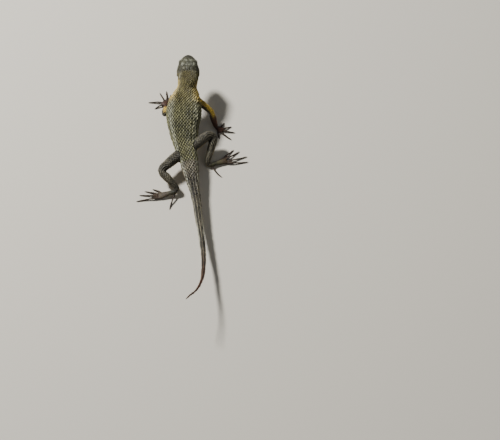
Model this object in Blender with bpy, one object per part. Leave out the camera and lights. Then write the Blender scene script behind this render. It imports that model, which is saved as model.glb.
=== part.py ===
"""A western fence lizard (Sceloporus occidentalis), a grown male at life size, still, in a walking stance.

The head points to +Y and the animal's right side is +X. The floor is Z = 0, and the origin lies on the floor
under the middle of the animal. Shapes are worked out in millimetres from a point on the floor under the hips,
and are moved to the origin and turned to metres at the end.
"""

import math

import bmesh
import bpy
import numpy as np
from mathutils import Matrix

MM = 0.001
GAP = 0.3
HIPS = (-2.65, 23.69, 0.0)

# Head, neck, trunk and tail: distance ahead of the hips, sideways place, middle height, width, height
BODY = (
    (55.0, -0.4, 26.2, 14.6, 10.4),
    (50.6, -0.6, 25.3, 13.4, 9.8),
    (46.3, -1.0, 23.3, 12.0, 9.2),
    (41.0, -1.6, 20.2, 17.4, 10.4),
    (34.3, -2.9, 17.5, 21.6, 11.6),
    (27.5, -3.4, 15.5, 21.9, 12.2),
    (20.9, -3.4, 13.8, 19.3, 11.8),
    (14.2, -2.8, 12.4, 16.7, 11.0),
    (7.2, -2.1, 11.3, 13.7, 10.0),
    (0.0, -0.6, 10.4, 11.9, 9.2),
    (-7.3, 1.0, 9.6, 10.4, 8.2),
    (-14.5, 2.2, 9.1, 8.6, 7.0),
    (-21.8, 3.6, 8.7, 6.4, 5.8),
    (-32.3, 5.5, 8.2, 4.9, 4.7),
    (-46.7, 7.4, 7.7, 4.1, 3.9),
    (-61.5, 9.4, 8.3, 3.3, 3.2),
    (-77.1, 10.8, 10.6, 2.6, 2.5),
    (-87.5, 10.7, 12.8, 2.1, 2.1),
    (-98.2, 9.4, 17.0, 1.6, 1.6),
    (-107.9, 5.9, 22.2, 1.3, 1.3),
    (-113.3, 2.2, 26.0, 1.1, 1.1),
    (-116.4, 0.6, 28.0, 0.8, 0.8),
)
HEAD_START = 50.6
NECK_END = 45.6
VENT = -3.5
TAIL_JOINTS = (-26.0, -49.0, -72.0, -94.0)
BELLY_SQUARENESS = 2.5
BACK_SQUARENESS = 2.1

# Keeled scales of the back, flanks and tail: length of a row, scale columns around, for each length of body
SCALE_ROWS = {
    "neck": (1.9, 16),
    "torso": (2.85, 18),
    "tail_1": (2.6, 12),
    "tail_2": (2.4, 8),
    "tail_3": (2.3, 7),
    "tail_4": (2.2, 6),
    "tail_5": (2.2, 5),
}
LIMB_SCALE_ROWS = (2.1, 7)
KEEL_PROUD, EDGE_PROUD, ROOT_SUNK_IN = 0.42, 0.12, 0.12
FULL_RELIEF_WIDTH = 9.0
LEAST_RELIEF = 0.45
LIMB_RELIEF = 0.55
TIP_REACH = 0.24
TUCK = 0.12
BELLY_START, BACK_START = -0.75, -0.25
LIMB_CLEAR_START, LIMB_CLEAR_END = 0.5, 1.5
BEND_SHARE = 1.1

# Head: distance ahead of its back face, height of the crown, brow (out, up), cheek (out, up),
# edge of the jaw (out, up), height of the throat
HEAD = (
    (0.0, 4.9, 4.7, 3.5, 6.7, 0.0, 4.9, -3.4, -4.9),
    (2.5, 5.1, 4.9, 4.0, 7.3, -0.3, 5.6, -3.7, -5.1),
    (5.0, 5.2, 5.1, 4.3, 7.5, -0.8, 5.9, -3.8, -5.0),
    (8.0, 5.3, 5.6, 4.5, 7.1, -0.9, 5.5, -3.6, -4.6),
    (10.5, 5.1, 6.0, 4.1, 6.4, -0.8, 4.9, -3.3, -4.2),
    (12.5, 4.5, 5.4, 3.5, 5.8, -0.6, 4.4, -3.0, -3.9),
    (14.3, 3.8, 4.2, 2.8, 5.1, -0.4, 3.8, -2.7, -3.5),
    (16.3, 2.8, 2.9, 1.9, 3.9, -0.2, 2.8, -2.2, -2.9),
    (17.8, 1.8, 1.8, 1.1, 2.6, -0.2, 1.8, -1.7, -2.2),
    (18.5, 0.9, 0.9, 0.5, 1.4, -0.2, 0.9, -1.1, -1.4),
    (18.8, 0.2, 0.3, 0.1, 0.5, -0.3, 0.3, -0.6, -0.8),
)
SECTION_STEPS = (3, 4, 3, 2)
NAPE_TURN_LENGTH = 5.0
BEYOND_SNOUT, BEYOND_CHEEK = 20.0, 12.0
HEAD_SECTIONS = (GAP / 2, *np.linspace(1.5, 15.5, 12), 16.6, 17.5, 18.2, 18.7)
MOUTH = (
    (BEYOND_SNOUT, -0.7),
    (16.0, -0.95),
    (11.0, -1.4),
    (7.5, -1.95),
    (5.2, -2.3),
    (4.2, -3.6),
    (3.4, -8.0),
)
MOUTH_CORNER = 5
LIP_PROUD = 0.22
LIP_SPREAD = 0.7

EYE_AHEAD, EYE_OUT, EYE_UP, EYE_RADIUS = 11.0, 4.35, 1.7, 1.8
ORBIT_DEPTH, ORBIT_SPREAD, ORBIT_UP, ORBIT_INNER = 0.75, 1.9, 1.3, 3.85
LID = (2.35, 2.75, 2.35)
LID_OPENING, LID_SIDES = (1.65, 1.1), 16
EAR_AHEAD, EAR_UP = 2.4, -0.4
EAR_CUP = (1.35, 1.05, 1.5)
EARDRUM_DEPTH = 0.6
WELL_CLEAR = 5.0
NOSTRIL_AHEAD, NOSTRIL_OUT, NOSTRIL_UP, NOSTRIL_RADIUS = 16.5, 2.95, 1.0, 0.42

# Plates of the crown: middle ahead and out, length, width, turn in degrees; those off the middle are mirrored
CROWN_PLATES = (
    (4.9, 0.0, 3.0, 2.9, 0),
    (4.3, 2.75, 2.6, 2.3, 10),
    (6.9, 1.05, 1.6, 1.9, 0),
    (8.5, 0.0, 1.8, 2.0, 0),
    (10.4, 0.0, 2.2, 2.1, 0),
    (7.2, 3.45, 1.3, 2.5, 22),
    (8.4, 3.3, 1.3, 2.9, 12),
    (9.6, 3.3, 1.3, 3.1, 0),
    (10.8, 3.2, 1.3, 2.9, -12),
    (11.9, 3.0, 1.2, 2.4, -22),
    (12.2, 0.95, 1.6, 1.8, 0),
    (13.8, 0.0, 1.5, 1.7, 0),
    (13.7, 1.85, 1.5, 1.7, -15),
    (15.1, 0.9, 1.4, 1.5, 0),
    (16.4, 0.7, 1.2, 1.2, 0),
)
PLATE_PROUD, PLATE_SUNK, PLATE_BEVEL, PLATE_SEAM = 0.2, 0.4, 0.12, 0.14

# Limbs: (place of each joint from the hips), with the round of each bend
ARM_BEND, WRIST_BEND, KNEE_BEND, ANKLE_BEND = 2.1, 1.5, 2.6, 1.7
LEFT_ARM = ((-4.5, 41.6, 18.0), (-16.0, 34.3, 7.6), (-15.9, 43.6, 1.9), (-16.8, 47.8, 1.0))
RIGHT_ARM = ((2.2, 41.6, 18.0), (14.6, 34.6, 10.2), (18.0, 27.4, 2.0), (22.0, 25.4, 1.0))
LEFT_LEG = ((-1.2, 5.2, 10.8), (-17.4, -11.0, 9.6), (-7.3, -22.3, 4.2), (-18.6, -25.2, 1.1))
RIGHT_LEG = ((-1.8, 3.0, 10.8), (15.4, 14.8, 11.4), (12.7, -2.0, 2.6), (24.4, 1.8, 1.1))

# Limb sizes: share of the way along, width, height
UPPER_ARM = ((0.0, 5.2, 5.2), (0.5, 4.7, 4.7), (1.0, 3.6, 3.6))
FOREARM = ((0.0, 3.6, 3.6), (0.35, 4.2, 4.2), (1.0, 2.8, 2.7))
HAND = ((0.0, 2.8, 2.7), (0.5, 4.3, 2.2), (1.0, 4.9, 1.7))
THIGH = ((0.0, 8.0, 7.6), (0.5, 6.9, 6.9), (1.0, 4.8, 4.8))
SHANK = ((0.0, 4.8, 4.8), (0.3, 5.2, 5.2), (1.0, 2.9, 2.8))
FOOT = ((0.0, 2.9, 2.8), (0.5, 3.6, 2.3), (1.0, 5.8, 1.8))

# Digits, from the inner one to the outer one: root along and across the palm or sole, tip from the hips, bow
LEFT_FINGERS = (
    (0.62, 2.1, (-12.8, 54.4), 0.3),
    (1.00, 1.5, (-15.8, 57.2), 0.2),
    (1.05, 0.0, (-20.4, 55.8), 0.2),
    (1.00, -1.5, (-27.8, 47.8), 0.2),
    (0.50, -2.0, (-23.4, 42.8), 0.3),
)
RIGHT_FINGERS = (
    (0.55, 2.1, (23.2, 31.8), 0.3),
    (1.00, 1.5, (28.2, 28.8), 0.2),
    (1.05, 0.0, (30.6, 24.0), 0.2),
    (1.00, -1.5, (28.4, 18.4), 0.3),
    (0.50, -2.0, (20.4, 19.0), 0.3),
)
LEFT_TOES = (
    (0.90, 2.15, (-23.6, -20.0), 0.2),
    (1.00, 0.80, (-28.8, -21.6), 0.2),
    (1.03, -0.70, (-32.4, -24.6), 0.3),
    (0.98, -2.15, (-34.3, -29.3), 0.5),
    (0.16, -1.2, (-12.3, -35.2), 0.2),
)
RIGHT_TOES = (
    (0.90, 2.15, (29.8, 10.8), 0.2),
    (1.00, 0.80, (33.6, 9.4), 0.2),
    (1.03, -0.70, (38.8, 5.4), 0.3),
    (0.98, -2.15, (39.6, 1.2), 0.3),
    (0.20, -1.2, (22.1, -10.7), 0.6),
)
# A digit's shape: share of its length, height of its middle, radius
DIGIT = (
    (0.0, 0.75, 0.55),
    (0.22, 1.15, 0.60),
    (0.45, 1.10, 0.52),
    (0.66, 0.49, 0.56),
    (0.80, 0.43, 0.49),
    (0.90, 0.62, 0.34),
    (1.0, 0.22, 0.14),
)
DIGIT_SHARES = (0.0, 0.16, 0.32, 0.48, 0.64, 0.77, 0.89, 1.0)
SHARE_STEP = 0.02
ROOT_SUNK = 0.55
DIGIT_ROOT_HEIGHT = 1.3

# Lengths of the body, ahead of the hips, that the arms and the legs are cut to
SHOULDER_SPAN, HIP_SPAN = (54.0, 20.0), (24.0, -24.0)

GUARD_SIDES, FOOT_SIDES, DIGIT_SIDES = 40, 12, 6
GUARD_STEP, FOOT_STEP, BEND_RINGS = 2.0, 1.6, 2
PATH_SAMPLES, SLOPE_STEP = 2000, 0.05
CORNER_ROUNDS, BEND_POINTS = 12, 17

# Colours from the animal: linear red, green and blue, and roughness
BACK = ((0.16, 0.15, 0.10), 0.75)
HEAD_SCALES = ((0.20, 0.19, 0.15), 0.65)
LIMB = ((0.22, 0.17, 0.11), 0.75)
DIGITS = ((0.16, 0.08, 0.06), 0.65)
EYE = ((0.03, 0.02, 0.015), 0.1)
EARDRUM = ((0.10, 0.08, 0.06), 0.5)


def clear_scene():
    for thing in list(bpy.data.objects):
        bpy.data.objects.remove(thing, do_unlink=True)


def material(name, look):
    colour, roughness = look
    made = bpy.data.materials.new(name)
    made.use_nodes = True
    shader = made.node_tree.nodes["Principled BSDF"]
    shader.inputs["Base Color"].default_value = (*colour, 1.0)
    shader.inputs["Roughness"].default_value = roughness
    shader.inputs["Metallic"].default_value = 0.0
    return made


def unit(v):
    return np.asarray(v, float) / np.linalg.norm(v)


# Smooth curves

def lengths_along(points):
    steps = np.linalg.norm(np.diff(points, axis=0), axis=1)
    return np.concatenate([[0.0], np.cumsum(steps)])


def smooth_rows(knots, rows, at):
    """The rows read at places between the knots, on a smooth curve that passes through them all."""
    at = np.atleast_1d(np.asarray(at, float))
    slopes = np.gradient(rows, knots, axis=0)
    k = np.clip(np.searchsorted(knots, at, side="right") - 1, 0, len(knots) - 2)
    span = (knots[k + 1] - knots[k])[:, None]
    f = (at[:, None] - knots[k][:, None]) / span
    return (
        rows[k] * (1 + 2 * f) * (1 - f) ** 2
        + slopes[k] * span * f * (1 - f) ** 2
        + rows[k + 1] * f**2 * (3 - 2 * f)
        + slopes[k + 1] * span * f**2 * (f - 1)
    )


BODY_ROWS = np.array([(x, y, z, width, height) for y, x, z, width, height in BODY])
BODY_KNOTS = lengths_along(BODY_ROWS[:, :3])


def body_place(ahead):
    """The length along the spine at this distance ahead of the hips."""
    fine = np.linspace(0, BODY_KNOTS[-1], PATH_SAMPLES)
    y = smooth_rows(BODY_KNOTS, BODY_ROWS, fine)[:, 1]
    return float(np.interp(-ahead, -y, fine))


def body_at(s):
    """Middle, sizes and frame (ahead, right, up) of the body's sections at lengths s along the spine."""
    rows = smooth_rows(BODY_KNOTS, BODY_ROWS, s)
    before = smooth_rows(BODY_KNOTS, BODY_ROWS, np.maximum(np.asarray(s) - SLOPE_STEP, 0))
    after = smooth_rows(BODY_KNOTS, BODY_ROWS, np.minimum(np.asarray(s) + SLOPE_STEP, BODY_KNOTS[-1]))
    ahead = before[:, :3] - after[:, :3]
    ahead /= np.linalg.norm(ahead, axis=1)[:, None]
    right = np.cross(ahead, (0.0, 0.0, 1.0))
    right /= np.linalg.norm(right, axis=1)[:, None]
    return rows[:, :3], rows[:, 3:], ahead, right, np.cross(right, ahead)


def squared(angle, squareness):
    """Cosine and sine of a rounded square's outline."""
    c, s = np.cos(angle), np.sin(angle)
    power = 2.0 / squareness
    return np.sign(c) * np.abs(c) ** power, np.sign(s) * np.abs(s) ** power


def body_points(s, angle, proud):
    """Points of the body's surface at lengths s along the spine and angles from the right over the back."""
    middle, size, _, right, up = body_at(s)
    square = np.where(np.sin(angle) > 0, BACK_SQUARENESS, BELLY_SQUARENESS)
    across, rise = squared(angle, square)
    half = size / 2 + np.asarray(proud)[:, None]
    return middle + (across * half[:, 0])[:, None] * right + (rise * half[:, 1])[:, None] * up


def smooth_step(low, high, value):
    f = np.clip((value - low) / (high - low), 0, 1)
    return f * f * (3 - 2 * f)


def body_relief(s, angle):
    """How far the scales stand out: in full on the back, not on the belly nor where a limb grows."""
    share = smooth_step(BELLY_START, BACK_START, np.sin(angle))
    points = body_points(s, angle, np.zeros(len(s)))
    limbs = ((LEFT_ARM, UPPER_ARM), (RIGHT_ARM, UPPER_ARM), (LEFT_LEG, THIGH), (RIGHT_LEG, THIGH))
    for joints, sizes in limbs:
        root, way = np.array(joints[0]), unit(np.subtract(joints[1], joints[0]))
        ahead = np.clip((points - root) @ way, 0, None)
        distance = np.linalg.norm(points - root - np.outer(ahead, way), axis=1) - sizes[0][1] / 2
        share = share * smooth_step(LIMB_CLEAR_START, LIMB_CLEAR_END, distance)
    width = body_at(s)[1][:, 0]
    return share * np.clip(width / FULL_RELIEF_WIDTH, LEAST_RELIEF, 1)


def scale_rings(start, end, row_length, columns, surface, relief):
    """Two rings for each row of scales: its roots, tucked behind the row ahead, and its raised tips."""
    rows = round((end - start) / row_length)
    pitch = (end - start) / rows
    column = np.arange(2 * columns)
    angle = column * math.pi / columns
    rings = []
    for row in range(rows):
        keel = (column + row) % 2 == 0
        reach = pitch * TIP_REACH * np.where(keel, 1, -1)
        roots = start + row * pitch + (TUCK - reach if row else 0 * reach)
        tips = start + (row + 1) * pitch + (reach if row < rows - 1 else 0 * reach)
        sunk = np.where(keel, 0, -ROOT_SUNK_IN)
        proud = np.where(keel, KEEL_PROUD, EDGE_PROUD)
        rings.append(surface(roots, angle, sunk * relief(roots, angle)))
        rings.append(surface(tips, angle, proud * relief(tips, angle)))
    return rings


# Meshes

def tube_faces(ring_count, sides):
    """Triangles between the rings, and fans over the two ends to the two points after the rings."""
    faces = []
    for i in range(ring_count - 1):
        for j in range(sides):
            a, b = i * sides + j, i * sides + (j + 1) % sides
            c, d = b + sides, a + sides
            faces += [(a, b, c), (a, c, d)] if (i // 2 + j) % 2 else [(a, b, d), (b, c, d)]
    first, last = ring_count * sides, ring_count * sides + 1
    end = (ring_count - 1) * sides
    for j in range(sides):
        k = (j + 1) % sides
        faces.append((first, k, j))
        faces.append((last, end + j, end + k))
    return faces


def tube(name, rings):
    """A closed tube through rings of points, its faces outwards."""
    sides = len(rings[0])
    ends = [rings[0].mean(axis=0), rings[-1].mean(axis=0)]
    return solid(name, np.vstack([*rings, ends]), tube_faces(len(rings), sides))


def solid(name, points, faces):
    corners = np.array(points)[np.array(faces)]
    volume = np.einsum("ij,ij->i", corners[:, 0], np.cross(corners[:, 1], corners[:, 2])).sum()
    if volume < 0:
        faces = [tuple(reversed(face)) for face in faces]
    mesh = bpy.data.meshes.new(name)
    mesh.from_pydata([tuple(p) for p in points], [], faces)
    mesh.validate()
    made = bpy.data.objects.new(name, mesh)
    bpy.context.scene.collection.objects.link(made)
    return made


def combine(target, other, operation, solver="EXACT"):
    """Cuts, joins or meets the target with the other solid, which is then removed."""
    step = target.modifiers.new(operation, "BOOLEAN")
    step.operation = operation
    step.solver = solver
    step.object = other
    graph = bpy.context.evaluated_depsgraph_get()
    result = bpy.data.meshes.new_from_object(target.evaluated_get(graph))
    target.modifiers.clear()
    old = target.data
    target.data = result
    bpy.data.meshes.remove(old)
    bpy.data.objects.remove(other, do_unlink=True)
    keep_largest(target)


def keep_largest(target):
    """Keeps the object's largest closed surface and drops loose scraps."""
    shape = bmesh.new()
    shape.from_mesh(target.data)
    bmesh.ops.remove_doubles(shape, verts=shape.verts, dist=1e-4)
    bmesh.ops.dissolve_degenerate(shape, edges=shape.edges, dist=1e-4)
    bmesh.ops.triangulate(shape, faces=shape.faces)
    unseen = set(shape.faces)
    pieces = []
    while unseen:
        stack = [unseen.pop()]
        piece = set(stack)
        while stack:
            for edge in stack.pop().edges:
                for face in edge.link_faces:
                    if face in unseen:
                        unseen.remove(face)
                        piece.add(face)
                        stack.append(face)
        pieces.append(piece)
    pieces.sort(key=lambda piece: sum(face.calc_area() for face in piece))
    scraps = [face for piece in pieces[:-1] for face in piece]
    bmesh.ops.delete(shape, geom=scraps, context="FACES")
    shape.to_mesh(target.data)
    shape.free()


def ellipsoid(name, middle, sizes, around=16, down=8):
    """A closed ellipsoid of half sizes along X, Y and Z."""
    angle = np.arange(around) * 2 * math.pi / around
    points = []
    for i in range(1, down):
        tilt = math.pi * i / down
        ring = np.stack([np.sin(tilt) * np.cos(angle), np.sin(tilt) * np.sin(angle)], axis=1)
        points.append(np.column_stack([ring, np.full(around, math.cos(tilt))]) * sizes + middle)
    poles = [np.add(middle, (0, 0, sizes[2])), np.subtract(middle, (0, 0, sizes[2]))]
    return solid(name, np.vstack([*points, poles]), tube_faces(down - 1, around))


def prism(name, outline, low, high, axis=0):
    """A closed prism over an outline, from low to high along an axis."""
    ends = []
    for level in (low, high):
        ends.append(np.insert(np.array(outline, float), axis, level, axis=1))
    count = len(outline)
    mesh = bpy.data.meshes.new(name)
    faces = [tuple(range(count)), tuple(reversed(range(count, 2 * count)))]
    faces += [(j, j + count, (j + 1) % count + count, (j + 1) % count) for j in range(count)]
    mesh.from_pydata([tuple(p) for p in np.vstack(ends)], [], faces)
    shape = bmesh.new()
    shape.from_mesh(mesh)
    bmesh.ops.recalc_face_normals(shape, faces=shape.faces)
    bmesh.ops.triangulate(shape, faces=shape.faces)
    shape.to_mesh(mesh)
    shape.free()
    made = bpy.data.objects.new(name, mesh)
    bpy.context.scene.collection.objects.link(made)
    return made


# Neck, trunk and tail

def neck_trunk_and_tail():
    """The neck, the trunk and five lengths of tail, with a thin space between each and the next."""
    joints = [HEAD_START, NECK_END, VENT, *TAIL_JOINTS]
    places = [body_place(ahead) for ahead in joints] + [BODY_KNOTS[-1] + GAP / 2]
    names = ["neck", "torso"] + [f"tail_{i}" for i in range(1, len(TAIL_JOINTS) + 2)]
    made = []
    for i, name in enumerate(names):
        start, end = places[i] + GAP / 2, places[i + 1] - GAP / 2
        made.append(tube(name, scale_rings(start, end, *SCALE_ROWS[name], body_points, body_relief)))
    return made


def body_guard(start_ahead, end_ahead):
    """The smooth body grown by the gap, to cut a limb's root to it."""
    start, end = body_place(start_ahead), body_place(end_ahead)
    angle = np.arange(GUARD_SIDES) * 2 * math.pi / GUARD_SIDES
    grown = np.full(GUARD_SIDES, GAP)
    places = np.linspace(start, end, round((end - start) / GUARD_STEP) + 1)
    return tube("body_guard", [body_points(np.full(GUARD_SIDES, s), angle, grown) for s in places])


# Head

HEAD_ROWS = np.array(HEAD)
HEAD_BACK = body_place(HEAD_START)


def head_point(ahead, out, up):
    """A place on the head, from the middle of its back face."""
    middle = body_at([HEAD_BACK])[0][0]
    return middle + np.array([out, ahead, up])


def mouth_height(ahead):
    """Height of the mouth line at this distance ahead, in front of the corner of the mouth."""
    line = np.array(sorted(MOUTH[:MOUTH_CORNER]))
    return np.interp(ahead, line[:, 0], line[:, 1])


def head_section(ahead):
    """Outline of the head across, as (out, up), from the throat round the right side, the crown and back."""
    row = smooth_rows(HEAD_ROWS[:, 0], HEAD_ROWS[:, 1:], ahead)[0]
    crown, throat = (0.0, row[0]), (0.0, row[7])
    brow, cheek, jaw_edge = row[1:3], row[3:5], row[5:7]
    half = [throat, jaw_edge, cheek, brow, crown]
    loop = np.array(half + [(-out, up) for out, up in reversed(half[1:-1])])
    knots = lengths_along(np.vstack([loop, loop[:1]]))
    around = knots[-1]
    rows = np.vstack([loop, loop, loop])
    long_knots = np.concatenate([knots[:-1] - around, knots[:-1], knots[:-1] + around])
    places = []
    counts = SECTION_STEPS[::-1] + SECTION_STEPS
    for i, count in enumerate(counts):
        places += list(knots[i] + (knots[i + 1] - knots[i]) * np.arange(count) / count)
    return smooth_rows(long_knots, rows, places)


def head_ring(ahead):
    """One section of the head, with lips beside the mouth line and a hollow round each eye."""
    outline = head_section(ahead)
    share = min(1.0, ahead / NAPE_TURN_LENGTH)
    out, rise = outline[:, 0].copy(), outline[:, 1]
    side = np.sign(np.where(np.abs(out) < 1e-6, 0, out))
    out += side * LIP_PROUD * share * np.exp(-(((rise - mouth_height(ahead)) / LIP_SPREAD) ** 2))
    from_eye = ((rise - ORBIT_UP) ** 2 + (ahead - EYE_AHEAD) ** 2) / ORBIT_SPREAD**2
    beside = np.abs(out) > ORBIT_INNER
    out -= np.where(beside, side * ORBIT_DEPTH * np.exp(-from_eye), 0)
    _, _, _, neck_right, neck_up = (v[0] for v in body_at([HEAD_BACK]))
    right = unit(neck_right * (1 - share) + np.array([1.0, 0, 0]) * share)
    up = unit(neck_up * (1 - share) + np.array([0, 0, 1.0]) * share)
    return head_point(ahead, 0, 0) + np.outer(out, right) + np.outer(rise, up)


def crown_height(ahead, out):
    """Height of the top of the head at a place ahead and out from its middle line."""
    outline = head_section(ahead)
    upper = outline[(outline[:, 1] > 0)]
    upper = upper[np.argsort(upper[:, 0])]
    return float(np.interp(out, upper[:, 0], upper[:, 1]))


def crown_plate(ahead, out, length, width, turn):
    """A six sided plate that stands a little above the crown, its foot sunk into it."""
    turn = math.radians(turn)
    loops = []
    for inset, rise in ((-PLATE_BEVEL, -PLATE_SUNK), (PLATE_BEVEL, PLATE_PROUD)):
        loop = []
        for i in range(6):
            corner = math.pi / 3 * i
            a = math.cos(corner) * (length / 2 - PLATE_SEAM / 2 - inset)
            b = math.sin(corner) / math.sin(math.pi / 3) * (width / 2 - PLATE_SEAM / 2 - inset)
            u = ahead + a * math.cos(turn) - b * math.sin(turn)
            v = out + a * math.sin(turn) + b * math.cos(turn)
            loop.append(head_point(u, v, crown_height(u, v) + rise))
        loops.append(np.array(loop))
    return tube("crown_plate", loops)


def mouth_region(name, grow):
    """A thick slab that holds all of the lower jaw, its top on the mouth line."""
    middle = body_at([HEAD_BACK])[0][0]
    line = [(u + (-grow if i >= MOUTH_CORNER else 0), z + grow) for i, (u, z) in enumerate(MOUTH)]
    outline = [(middle[1] + u, middle[2] + z) for u, z in line]
    outline.append((middle[1] + BEYOND_SNOUT, middle[2] + MOUTH[-1][1]))
    return prism(name, outline, -BEYOND_CHEEK, BEYOND_CHEEK)


def head_and_jaw():
    """The skull with its eye sockets, lids, ear cups and nostrils, and the lower jaw under the mouth line."""
    rings = [head_ring(ahead) for ahead in HEAD_SECTIONS]
    head, jaw = tube("head", rings), tube("jaw", rings)
    combine(jaw, mouth_region("jaw_space", -GAP / 2), "INTERSECT")
    combine(head, mouth_region("jaw_space", GAP / 2), "DIFFERENCE")
    for side in (-1, 1):
        eye = head_point(EYE_AHEAD, side * EYE_OUT, EYE_UP)
        combine(head, ellipsoid("lid", eye, LID, 18, 10), "UNION")
        around = np.arange(LID_SIDES) * 2 * math.pi / LID_SIDES
        opening = np.column_stack([np.cos(around), np.sin(around)]) * LID_OPENING + eye[1:]
        inner, outer = sorted((eye[0], eye[0] + side * WELL_CLEAR))
        combine(head, prism("lid_opening", opening, inner, outer), "DIFFERENCE")
        combine(head, ellipsoid("socket", eye, [EYE_RADIUS + GAP] * 3), "DIFFERENCE")
        cup = head_point(EAR_AHEAD, side * ear_out(), EAR_UP)
        combine(head, ellipsoid("ear_cup", cup, EAR_CUP, 12, 6), "DIFFERENCE")
        nostril = head_point(NOSTRIL_AHEAD, side * NOSTRIL_OUT, NOSTRIL_UP)
        hole = [NOSTRIL_RADIUS * 2, NOSTRIL_RADIUS, NOSTRIL_RADIUS]
        combine(head, ellipsoid("nostril", nostril, hole, 8, 4), "DIFFERENCE")
    for ahead, out, length, width, turn in CROWN_PLATES:
        combine(head, crown_plate(ahead, out, length, width, turn), "UNION")
        if out:
            combine(head, crown_plate(ahead, -out, length, width, -turn), "UNION")
    return [head, jaw]


def ear_out():
    """How far out the head's side is at the ear."""
    return float(smooth_rows(HEAD_ROWS[:, 0], HEAD_ROWS[:, 1:], EAR_AHEAD)[0, 3])


def eyes_and_eardrums():
    """The eyeballs in their sockets, and an eardrum at the bottom of each ear cup."""
    made = []
    for side, word in ((-1, "left"), (1, "right")):
        eye = head_point(EYE_AHEAD, side * EYE_OUT, EYE_UP)
        made.append(ellipsoid(f"eye_{word}", eye, [EYE_RADIUS] * 3))
        cup = head_point(EAR_AHEAD, side * ear_out(), EAR_UP)
        drum = ellipsoid(f"ear_{word}", cup, np.array(EAR_CUP) - GAP, 12, 6)
        inner, outer = sorted((cup[0] - side * WELL_CLEAR, cup[0] - side * EARDRUM_DEPTH))
        square = cup[1:] + np.array(((-1, -1), (1, -1), (1, 1), (-1, 1))) * WELL_CLEAR
        combine(drum, prism("inner_ear", square, inner, outer), "INTERSECT")
        made.append(drum)
    return made


# Limbs

def bent_path(joints, rounds):
    """Points along a path that rounds each inner joint through the joint itself, and the length at each."""
    joints = np.array(joints, float)
    corners = joints.copy()
    for _ in range(CORNER_ROUNDS):
        for i in range(1, len(joints) - 1):
            back, on = unit(corners[i - 1] - corners[i]), unit(corners[i + 1] - corners[i])
            half = math.acos(float(np.clip(back @ on, -1, 1))) / 2
            reach = rounds[i - 1] * (1 / math.sin(half) - 1)
            corners[i] = joints[i] - unit(back + on) * reach
    points, marks = [corners[0]], [0]
    for i in range(1, len(joints) - 1):
        back, on = unit(corners[i - 1] - corners[i]), unit(corners[i + 1] - corners[i])
        half = math.acos(float(np.clip(back @ on, -1, 1))) / 2
        centre = corners[i] + unit(back + on) * rounds[i - 1] / math.sin(half)
        start = corners[i] + back * rounds[i - 1] / math.tan(half) - centre
        turn_axis = unit(np.cross(back, on))
        turn = math.pi - 2 * half
        for f in np.linspace(0, 1, BEND_POINTS):
            spin = Matrix.Rotation(-turn * f, 3, turn_axis.tolist())
            points.append(centre + np.array(spin) @ start)
            if f == 0.5:
                marks.append(len(points) - 1)
    points.append(corners[-1])
    marks.append(len(points) - 1)
    points = np.array(points)
    along = lengths_along(points)
    return points, along, [along[m] for m in marks]


def path_frames(points, along, places, first_up):
    """Middles and frames at places along a path, carried from one to the next with as little turn as can be."""
    fine = np.linspace(0, along[-1], PATH_SAMPLES)
    line = np.stack([np.interp(fine, along, points[:, i]) for i in range(3)], axis=1)
    tangent = np.gradient(line, axis=0)
    tangent /= np.linalg.norm(tangent, axis=1)[:, None]
    up = np.empty_like(line)
    now = np.array(first_up, float)
    for i, ahead in enumerate(tangent):
        now = unit(now - ahead * (now @ ahead))
        up[i] = now
    index = np.clip(np.round(np.asarray(places) / along[-1] * (len(fine) - 1)).astype(int), 0, len(fine) - 1)
    middles = np.stack([np.interp(places, along, points[:, i]) for i in range(3)], axis=1)
    return middles, tangent[index], up[index]


def oval_ring(middle, ahead, up, width, height, sides):
    angle = np.arange(sides) * 2 * math.pi / sides
    right = np.cross(ahead, up)
    return middle + np.outer(np.cos(angle) * width / 2, right) + np.outer(np.sin(angle) * height / 2, up)


def sizes_along(sizes, span, places):
    """Widths and heights at places along a span, from rows of share, width and height."""
    rows = np.array(sizes)
    share = (np.asarray(places) - span[0]) / (span[1] - span[0])
    return np.interp(share, rows[:, 0], rows[:, 1]), np.interp(share, rows[:, 0], rows[:, 2])


def behind(ring, planes):
    """The ring with what passes a plane moved back onto it."""
    for point, normal in planes:
        ring = ring - np.outer(np.maximum((ring - point) @ normal, 0), normal)
    return ring


def limb_length(name, path, span, sizes, bends, planes):
    """A scaled length of a limb, plain within the round of the bend at each end, behind the given planes."""
    points, along, _ = path

    def surface(places, angle, proud):
        middles, ahead, up = path_frames(points, along, places, (0.0, 0.0, 1.0))
        widths, heights = sizes_along(sizes, span, places)
        across = np.cos(angle) * (widths / 2 + proud)
        rise = np.sin(angle) * (heights / 2 + proud)
        return middles + across[:, None] * np.cross(ahead, up) + rise[:, None] * up

    def relief(places, angle):
        return np.full(len(places), LIMB_RELIEF)

    row_length, columns = LIMB_SCALE_ROWS
    angle = np.arange(2 * columns) * math.pi / columns
    flat = np.zeros(2 * columns)
    start, end = span[0] + BEND_SHARE * bends[0], span[1] - BEND_SHARE * bends[1]
    before = np.linspace(span[0], start, BEND_RINGS + 1)[:-1] if bends[0] else []
    after = np.linspace(end, span[1], BEND_RINGS + 1)[1:] if bends[1] else []
    rings = [surface(flat + place, angle, flat) for place in before]
    rings += scale_rings(start, end, row_length, columns, surface, relief)
    rings += [surface(flat + place, angle, flat) for place in after]
    return tube(name, [behind(ring, planes) for ring in rings])


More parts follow.
